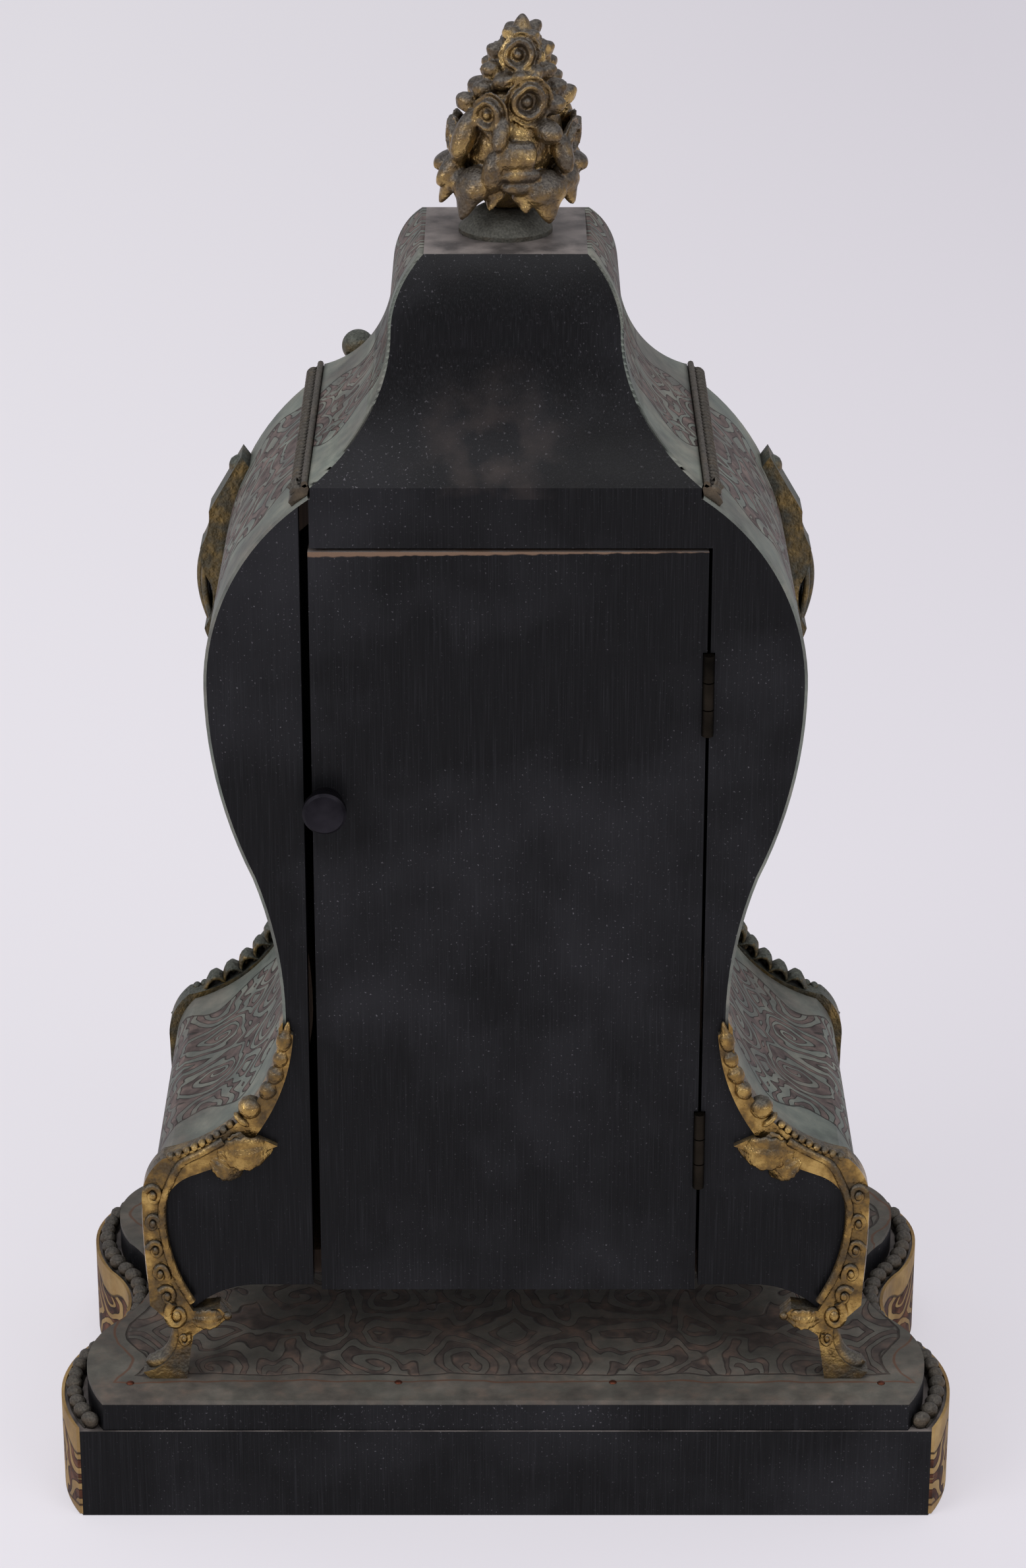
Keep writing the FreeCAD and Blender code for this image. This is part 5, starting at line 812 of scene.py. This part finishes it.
def plate_pins():
    """Copper pins that hold the plinth's top plate, along its rear and front edges."""
    copper = worked_metal("copper_pins_filed", "#523026", "#754737", 0.5, 0.45)
    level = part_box("plinth_top_plate")[1][2]
    half_spots = ((119, 69), (34, 68.5), (108, -62), (34, -68))
    spots = [(sign * x * MM, y * MM, level) for sign in (1, -1) for x, y in half_spots]
    pins = [put(bead, "pin", aim(spot, (1, 0, 0), (0, 0, 1), 1.3 * MM, (1, 1, 0.45))) for spot in spots]
    settle(join("plate_pins", pins, copper), "metal_marquetry")


def ridge_ornament():
    """A slim rib along the ridge under the cap, gadroons laid slantwise below it, a leaf at the rear."""
    low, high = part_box("ridge_moulding_left")
    count = 38
    rib_x, rib_z, gadroon_x, gadroon_z = 58.5, 340.3, 61.1, 337.9
    for side, sign in (("left", 1), ("right", -1)):
        out = Vector((sign * 0.75, 0, 0.66))
        ends = [Vector((sign * rib_x * MM, y, rib_z * MM)) for y in (low[1], CASE_MIDDLE, high[1])]
        pieces = [bar("rib", ends, [1.0 * MM] * 3)]
        for k in range(count):
            y = low[1] + (high[1] - low[1]) * (k + 0.5) / count
            lean = (sign * -0.6, 0.5, 0.68)
            at = (sign * gadroon_x * MM, y, gadroon_z * MM)
            pieces.append(put(bead, "gadroon", aim(at, lean, out, 1.0 * MM, (2.6, 1.35, 1.6))))
        at = (sign * 61.2 * MM, high[1] - 8 * MM, 338.4 * MM)
        pieces.append(put(leaf, "end_leaf", aim(at, (0, 1, 0), out, 8 * MM, (1, 1.3, 1.4))))
        settle(join(f"ridge_gadroons_{side}", pieces, dark_bronze), "gilt_bronze")


def bouquet():
    """Cast bouquet, one lumpy mass: thick trumpet blossoms with a button in each cup, lobed flowers, buds,
    and leaves that droop over the neck, run together as the mould left them and leaning a little."""
    foot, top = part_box("finial_foot")[1][2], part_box("finial_bouquet")[1][2]

    def heading(angle, tilt):
        turn = math.radians(angle)
        return Vector((math.cos(turn), math.sin(turn), tilt))

    def spot(angle, reach, height):
        return Vector((0, CASE_MIDDLE, foot + height * MM)) + heading(angle, 0) * reach * MM

    deselect()
    bpy.ops.mesh.primitive_circle_add(vertices=14, radius=6 * MM, fill_type="NGON",
                                      location=(0, CASE_MIDDLE, foot - 1 * MM))
    core = begin("core")
    choose(core, lambda p: True)
    steps = [((0, 0, 3 * MM), (1.3, 1.3, 1)), ((0, 0, 5 * MM), (1.5, 1.5, 1)),
             ((0, 0, 10 * MM), (1.4, 1.4, 1)), ((0, 0, 9 * MM), (0.9, 0.9, 1)),
             ((0, 0, 9 * MM), (0.72, 0.72, 1)), ((0, 0, 10 * MM), (0.72, 0.72, 1)),
             ((0, 0, 9 * MM), (0.4, 0.4, 1))]
    grow((0, CASE_MIDDLE, foot - 1 * MM), steps)
    bpy.ops.mesh.select_all(action="SELECT")
    bpy.ops.mesh.fill_holes(sides=0)
    close(core)
    smooth_out(core)
    pieces = [core]
    # Each row: angle, height over the foot, reach, tilt, size. The door's side is at 90 degrees
    trumpets = [(84, 48, 8.5, 0.2, 15), (101, 35, 14, 0.05, 17), (57, 31, 15.5, -0.1, 15),
                (10, 22, 18, -0.1, 14), (160, 22, 18, -0.1, 14), (165, 46, 7, 0.15, 12)]
    petals = [(172, 36, 9, 0.2, 4.2), (30, 42, 7.5, 0.3, 3.8), (18, 32, 13.5, 0.6, 4),
              (126, 26, 16.5, -0.2, 4), (117, 42, 8.5, 0.3, 3.4), (66, 40, 10, 0.2, 3.4),
              (140, 33, 12.5, 0.1, 4), (36, 37, 11, 0.3, 3.6), (2, 14, 17.5, -0.3, 4),
              (178, 14, 17.5, -0.3, 4), (120, 52, 4.5, 0.6, 3), (50, 53, 4.5, 0.6, 2.8),
              (148, 42, 8, 0.3, 3.4), (92, 41, 10.5, 0.5, 3), (10, 47, 6, 0.5, 3.2)]
    drops = [(36, 24, 18, -3.0, 3.8), (77, 26, 17.5, -1.2, 2.8), (143, 19, 18.5, -2.0, 3.2),
             (24, 14, 19, -1.5, 3.4)]
    leaves = [(50, 15, 15, -2.6, 17), (128, 14, 15, -2.8, 17), (22, 15, 16, -2.2, 14),
              (155, 15, 16, -2.4, 14), (72, 10, 13, -1.8, 9), (108, 10, 13, -1.8, 10)]
    lobes = [(93 + 6.5 * k, 19.5, 17.5, 0.35, 2.4) for k in range(-2, 3)] + [(73, 14.5, 17.5, 0, 3.6)]
    lips = [(100, 13.5, 17.5, 0.2, 2.6), (100, 9.6, 16.8, -0.4, 2.4)]
    for half in (0, 180):
        for rows, shape, stretch in ((trumpets, blossom, (1, 1, 1)), (petals, bead, (1.5, 1, 0.8)),
                                     (drops, bead, (2.2, 1, 0.9)),
                                     (leaves, husk, (1, 1.3, 0.8))):
            for angle, height, reach, tilt, size in rows:
                way = heading(angle + half, tilt)
                pieces.append(put(shape, shape.name,
                                  aim(spot(angle + half, reach, height), way, (0.1, 0, 1), size * MM,
                                      stretch)))
        for rows, stretch in ((lobes, (1, 1.9, 1.2)), (lips, (2.4, 1, 1))):
            for angle, height, reach, tilt, size in rows:
                across = heading(angle + half + 90, 0)
                way = heading(angle + half, tilt)
                pieces.append(put(bead, "lobe",
                                  aim(spot(angle + half, reach, height), across, way, size * MM, stretch)))
    pieces.append(put(husk, "tip", aim(spot(0, 0, 44), (0.02, 0, 1), (0, 1, 0), 15 * MM, (1, 1.2, 1.2))))
    whole = join("bouquet", pieces, flower_bronze)
    finish_with(whole, "REMESH", mode="VOXEL", voxel_size=0.55 * MM, use_smooth_shade=True)
    finish_with(whole, "SMOOTH", factor=0.5, iterations=2)
    tallest = max(v.co.z for v in whole.data.vertices)
    lean = Matrix.Diagonal((1, 1, (top - foot) / (tallest - foot), 1))
    lean[0][2] = -0.08
    onto_foot = Matrix.Translation((-0.5 * MM, 0, foot))
    whole.data.transform(onto_foot @ lean @ Matrix.Translation((0, 0, -foot)))
    whole.data.materials.clear()
    whole.data.materials.append(flower_bronze)
    settle(whole, "gilt_bronze", "finial_bouquet")


def leg_relief():
    """Relief on the leg mounts: a bud and husks over a ball, a three-lobed leaf, a pearled brow, scroll
    eyes down the shin and a scrolled foot. Modelled once at the rear left and copied to each corner."""
    face = BACK + 2.2 * MM

    def at(x, z, y=face):
        return Vector((x * MM, y, z * MM))

    def brow(degrees, out=1.4):
        """A place out from the brow's hollow, an arc round one middle."""
        middle_x, middle_z, hollow = 119.2, 168, 51.9
        turn = math.radians(degrees)
        return middle_x - (hollow - out) * math.cos(turn), middle_z - (hollow - out) * math.sin(turn)

    # Husks climb the brow, a ball and a collar close them below. Rows: degrees, length, width share
    pieces = []
    for degrees, size, width in ((12, 11, 0.75), (18, 8.5, 0.95), (24.5, 9, 1.0), (31, 9, 1.0)):
        turn = math.radians(degrees)
        way = (-math.sin(turn), 0, math.cos(turn))
        pieces.append(put(husk, "husk",
                          aim(at(*brow(degrees, 0.3), face - 0.8 * MM), way, (0, 1, 0), size * MM,
                              (1, width, width))))
    pieces.append(put(bead, "ball",
                      aim(at(*brow(36.5, 1.8), face - 1.4 * MM), (1, 0, 0), (0, 1, 0), 3.9 * MM)))
    pieces.append(put(bead, "collar",
                      aim(at(*brow(42, 1.2), face - 1 * MM), (0.67, 0, -0.74), (0, 1, 0), 2.6 * MM,
                          (0.5, 1.3, 1))))
    for x, z, way, size in ((89.5, 122.6, (-1, 0.05, 0.12), 19.5), (91.5, 120.4, (-0.8, 0, -0.5), 12.5),
                            (87, 124, (-0.8, 0, 0.6), 10.5)):
        pieces.append(put(leaf, "acanthus",
                          aim(at(x, z, face - 0.3 * MM), way, (0, 1, 0.1), size * MM, (1, 1.5, 1))))
    for k in range(9):
        pieces.append(put(bead, "pearl",
                          aim(at(*brow(46.5 + 3.2 * k, 2.5), face - 1.4 * MM), (1, 0, 0), (0, 0, 1),
                              1.45 * MM, (1, 1.3, 1))))
    line = [brow(degrees, 0.2) for degrees in (52, 58, 64, 70)]
    line += [(104.3, 112.5), (107.2, 106.5), (107.4, 98), (106.4, 90), (104.8, 83), (102.2, 76), (98.8, 70)]
    pieces.append(bar("inner_rib", [at(x, z) for x, z in line], [1.4 * MM] * len(line)))
    line = [(107, 119.3), (110.8, 114.5), (112.2, 107), (112.4, 97), (112, 87), (111.6, 78), (110.6, 70),
            (106.5, 63.5)]
    pieces.append(bar("outer_rib", [at(x, z, BACK) for x, z in line],
                      [k * MM for k in (1.0, 1.2, 1.4, 1.4, 1.4, 1.4, 1.4, 1.2)]))
    # Scroll eyes. Rows: x, z, radius, starting angle, hand
    flat = ((0.82, 0, 0), (0, 0, 1.15))
    eyes = [(109.8, 108, 3.3, 0.4, 1), (110.2, 98, 3.0, 3.4, -1), (109.6, 88.5, 3.0, 0.2, 1),
            (108.4, 80, 3.1, 3.6, -1), (106.4, 72, 3.2, 0.5, 1)]
    for x, z, radius, start, hand in eyes + [(103.6, 65.2, 4.3, 1.2, -1), (101.6, 56.6, 2.3, 2.4, 1)]:
        spots = volute(at(x, z, face + 0.1 * MM), radius * MM, 1.4, start, hand, flat)
        pieces.append(bar("scroll", spots,
                          [(0.4 * radius - 0.02 * radius * k) * MM for k in range(len(spots))]))
        pieces.append(put(bead, "eye",
                          aim(at(x, z, face + 0.2 * MM), (0, 0, 1), (0, 1, 0), 0.4 * radius * MM,
                              (1.3, 1, 1))))
    pieces.append(put(leaf, "turned_leaf",
                      aim(at(99.5, 63.6, face - 0.6 * MM), (-1, 0.1, 0.08), (0, 1, 0.2), 12.5 * MM,
                          (1, 1.4, 1))))
    pieces.append(put(bead, "leaf_tip",
                      aim(at(87.8, 64.6, face - 0.6 * MM), (1, 0, 0), (0, 1, 0), 1.5 * MM)))
    line = [(103.2, 60.5), (103.8, 54), (105.4, 49.4), (108.6, 46.5), (112, 46.2), (113.6, 47.4)]
    pieces.append(bar("toe", [at(x, z, face - 4 * MM) for x, z in line],
                      [k * MM for k in (2.0, 2.6, 3.1, 3.4, 3.0, 1.6)], 3))
    cast = join("leg_cast", pieces, gilt)
    # The front legs' brows carry a garland of leaves that overlap upwards
    garland = []
    for degrees in (70, 62, 54, 46, 38, 30, 22):
        turn = math.radians(degrees)
        way = (-math.sin(turn), 0, math.cos(turn))
        out = (math.cos(turn), 0, math.sin(turn))
        garland.append(put(leaf, "garland",
                           aim(at(*brow(degrees, 1.6), BACK - 2.2 * MM), way, out, 13 * MM, (1, 1.5, 2.4))))
    for end, paint in (("rear", gilt), ("front", gilt_dull)):
        for side, sign in (("left", 1), ("right", -1)):
            turn = Matrix.Diagonal((sign, 1, 1, 1))
            if end == "front":
                turn = Matrix.Translation((0, 2 * CASE_MIDDLE, 0)) @ Matrix.Diagonal((sign, -1, 1, 1))
            shapes = [put(cast, "relief", turn)]
            if end == "front":
                shapes += [put(shape, "garland", turn) for shape in garland]
            settle(join(f"{end}_leg_relief_{side}", shapes, paint), "gilt_bronze")
    drop(cast, *garland)


def shoulder_casts():
    """A curling leaf that stands off each upper side near the front, with a bud at its head."""
    low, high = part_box("shoulder_mount_left")
    middle = (low[1] + high[1]) / 2
    deselect()
    bpy.ops.mesh.primitive_grid_add(x_subdivisions=1, y_subdivisions=6, size=1)
    piece = begin("shoulder_leaf")
    bpy.ops.transform.rotate(value=math.pi / 2, orient_axis="Y", center_override=(0, 0, 0))
    bpy.ops.transform.resize(value=(1, 4 * MM, 3 * MM), center_override=(0, 0, 0))
    start = Vector((88.2 * MM, middle, 243 * MM))
    bpy.ops.transform.translate(value=start)
    choose(piece, lambda p: abs(p.y - middle) < 0.5 * MM)
    bpy.ops.transform.translate(value=(1.0 * MM, 0, 0))
    choose(piece, lambda p: p.z > start.z)
    # Rows: x, z and width of the leaf on its way up
    path = [(88.6, 244.5, 4), (91.6, 251, 8), (94.2, 258, 11), (96.4, 266, 12.5), (96.9, 274, 12.5),
            (95.3, 282, 11.5), (91.4, 289, 10), (88.3, 294, 8.5), (87.6, 299, 9), (86, 305, 8),
            (82.5, 309, 5.5), (79.6, 310.5, 3)]
    steps = []
    for (x0, z0, w0), (x1, z1, w1) in zip(path, path[1:]):
        steps.append((((x1 - x0) * MM, 0, (z1 - z0) * MM), (1, w1 / w0, 1)))
    grow((88.6 * MM, middle, 244.5 * MM), steps)
    close(piece)
    finish_with(piece, "SOLIDIFY", thickness=2.2 * MM, offset=0)
    smooth_out(piece, 2)
    pieces = [piece]
    line = [(x + 1.2, z) for x, z, width in path]
    pieces.append(bar("rib", [Vector((x * MM, middle, z * MM)) for x, z in line],
                      [(0.7 + 0.6 * math.sin(math.pi * k / 11)) * MM for k in range(12)]))
    pieces.append(put(bead, "bud",
                      aim((84.5 * MM, middle, 309.5 * MM), (1, 0, 0), (0, 0, 1), 3.4 * MM, (1, 1.2, 1))))
    spots = volute((91.5 * MM, middle + 3 * MM, 281 * MM), 4.6 * MM, 1.3, 1.9, 1, ((1, 0, 0), (0, 0, 1)))
    pieces.append(bar("curl", spots, [(1.5 - 0.08 * k) * MM for k in range(len(spots))]))
    cast = join("shoulder_cast", pieces, gilt_dull)
    for side, sign in (("left", 1), ("right", -1)):
        made = put(cast, f"shoulder_leaf_{side}", Matrix.Diagonal((sign, 1, 1, 1)))
        settle(made, "gilt_bronze")
    drop(cast)


def dial_marks():
    """Hour numbers and a minute track in black, fired on the enamel."""
    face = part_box("dial_plate")[0][1]
    centre = Vector((0, face, DIAL_HEIGHT))
    number_ring, number_size, track_width, inked = 41 * MM, 12 * MM, 0.4, 0.05 * MM
    ink = worked_metal("enamel_black_fired", "#08080a", "#141418", 0.5, 0.3)
    ink.node_tree.nodes["Principled BSDF"].inputs["Metallic"].default_value = 0.0
    pieces = []
    numbers = ("XII", "I", "II", "III", "IIII", "V", "VI", "VII", "VIII", "IX", "X", "XI")
    for hour, number in enumerate(numbers):
        deselect()
        bpy.ops.object.text_add()
        text = bpy.context.object
        text.data.body = number
        text.data.size = number_size
        text.data.align_x, text.data.align_y = "CENTER", "CENTER"
        text.data.extrude = inked
        bpy.ops.object.convert(target="MESH")
        text = bpy.context.object
        around = Matrix.Rotation(math.radians(30 * hour), 4, "Y")
        upright = Matrix.Rotation(math.pi / 2, 4, "X")
        turn = around @ Matrix.Translation((0, 0, number_ring)) @ upright
        text.data.transform(Matrix.Translation(centre) @ turn)
        pieces.append(text)
    for radius in (52.5, 49.5):
        deselect()
        bpy.ops.mesh.primitive_circle_add(vertices=120, radius=radius * MM, fill_type="NOTHING",
                                          rotation=(math.pi / 2, 0, 0), location=centre)
        ring = begin("track")
        share = 1 + track_width / radius
        bpy.ops.mesh.select_all(action="SELECT")
        grow(centre, [((0, 0, 0), (share, 1, share)), ((0, -inked, 0), (1, 1, 1)),
                      ((0, 0, 0), (1 / share, 1, 1 / share))])
        bpy.ops.mesh.select_all(action="SELECT")
        bpy.ops.mesh.normals_make_consistent(inside=False)
        pieces.append(close(ring))
    deselect()
    bpy.ops.mesh.primitive_cube_add(size=1, location=centre + Vector((0, 0, 51 * MM)))
    tick = begin("tick")
    bpy.ops.transform.resize(value=(0.5 * MM, 0.1 * MM, 3 * MM),
                             center_override=centre + Vector((0, 0, 51 * MM)))
    bpy.ops.mesh.spin(steps=60, dupli=True, angle=2 * math.pi, center=centre, axis=(0, 1, 0))
    pieces.append(close(tick))
    marks = join("dial_marks", pieces, ink)
    settle(marks, "dial_enamel")


bead_rows()
plate_pins()
ridge_ornament()
bouquet()
leg_relief()
shoulder_casts()
dial_marks()
drop(leaf, blossom, bead, husk)


# Studio: a pale seamless floor, soft light and the photograph's camera

def studio():
    """A sheet of pale paper, a pale room, three soft lights and the camera."""
    scene = bpy.context.scene
    scene.view_settings.view_transform = "Standard"
    deselect()
    bpy.ops.mesh.primitive_plane_add(size=14)
    floor = bpy.context.object
    floor.name = "floor"
    paper = bpy.data.materials.new("paper_backdrop_matt")
    paper.use_nodes = True
    tree = paper.node_tree
    shade = tree.nodes["Principled BSDF"]
    shade.inputs["Base Color"].default_value = colour("#e6e3e9")
    shade.inputs["Roughness"].default_value = 0.9
    shade.inputs["Specular IOR Level"].default_value = 0.1
    # The paper's own pale level, a painted glow which the eye, mirrors and glass see, keeps the sweep even
    # from near to far and is painted lighter towards +X, the left window's side
    ray = node(tree, "ShaderNodeLightPath").outputs
    mirrored = node(tree, "ShaderNodeMath", {0: ray["Is Glossy Ray"], 1: ray["Is Transmission Ray"]},
                    operation="MAXIMUM")
    seen = node(tree, "ShaderNodeMath", {0: mirrored.outputs[0], 1: ray["Is Camera Ray"]},
                operation="MAXIMUM")
    share = node(tree, "ShaderNodeMath", {0: seen.outputs[0], 1: 0.62}, operation="MULTIPLY")
    # Painted light: the glow grows lighter towards +X, as if the left window lit that side more
    across = node(tree, "ShaderNodeSeparateXYZ",
                  {0: node(tree, "ShaderNodeTexCoord").outputs["Object"]}).outputs[0]
    spread = node(tree, "ShaderNodeMapRange", {0: across, 1: -0.35, 2: 0.35, 3: 0.0, 4: 1.0})
    pale = node(tree, "ShaderNodeValToRGB", {0: spread.outputs[0]}, [(0.0, "#dedae2"), (1.0, "#eeebf1")])
    painted_glow = node(tree, "ShaderNodeEmission", {0: pale.outputs[0], 1: 1.0})
    both = node(tree, "ShaderNodeMixShader", {0: share.outputs[0], 1: shade.outputs[0], 2: painted_glow.outputs[0]})
    tree.links.new(both.outputs[0], tree.nodes["Material Output"].inputs[0])
    floor.data.materials.append(paper)
    world = bpy.data.worlds.new("pale_room")
    scene.world = world
    world.use_nodes = True
    tree = world.node_tree
    light = tree.nodes["Background"]
    light.inputs[0].default_value = colour("#f3f1f6")
    light.inputs[1].default_value = 0.55
    for name, spot, size, power in (
            ("window_left", (1.6, 1.3, 1.7), 1.3, 22), ("window_right", (-1.5, 1.7, 1.6), 1.3, 16),
            ("ceiling", (0, 0.2, 2.4), 1.8, 16)):
        lamp = bpy.data.lights.new(name, "AREA")
        lamp.size = size
        lamp.energy = power
        made = bpy.data.objects.new(name, lamp)
        bpy.context.collection.objects.link(made)
        made.location = spot
        made.rotation_euler = (Vector((0, 0, 0.22)) - Vector(spot)).to_track_quat("-Z", "Y").to_euler()
    eye = bpy.data.cameras.new("photograph_view")
    eye.lens = CAMERA_LENS
    eye.shift_x = CAMERA_SHIFT
    eye.sensor_width = 36
    eye.clip_start = 0.05
    camera = bpy.data.objects.new("photograph_view", eye)
    bpy.context.collection.objects.link(camera)
    camera.location = CAMERA_PLACE
    camera.rotation_euler = (math.pi / 2 - CAMERA_DROP, 0, math.pi)
    scene.camera = camera


studio()
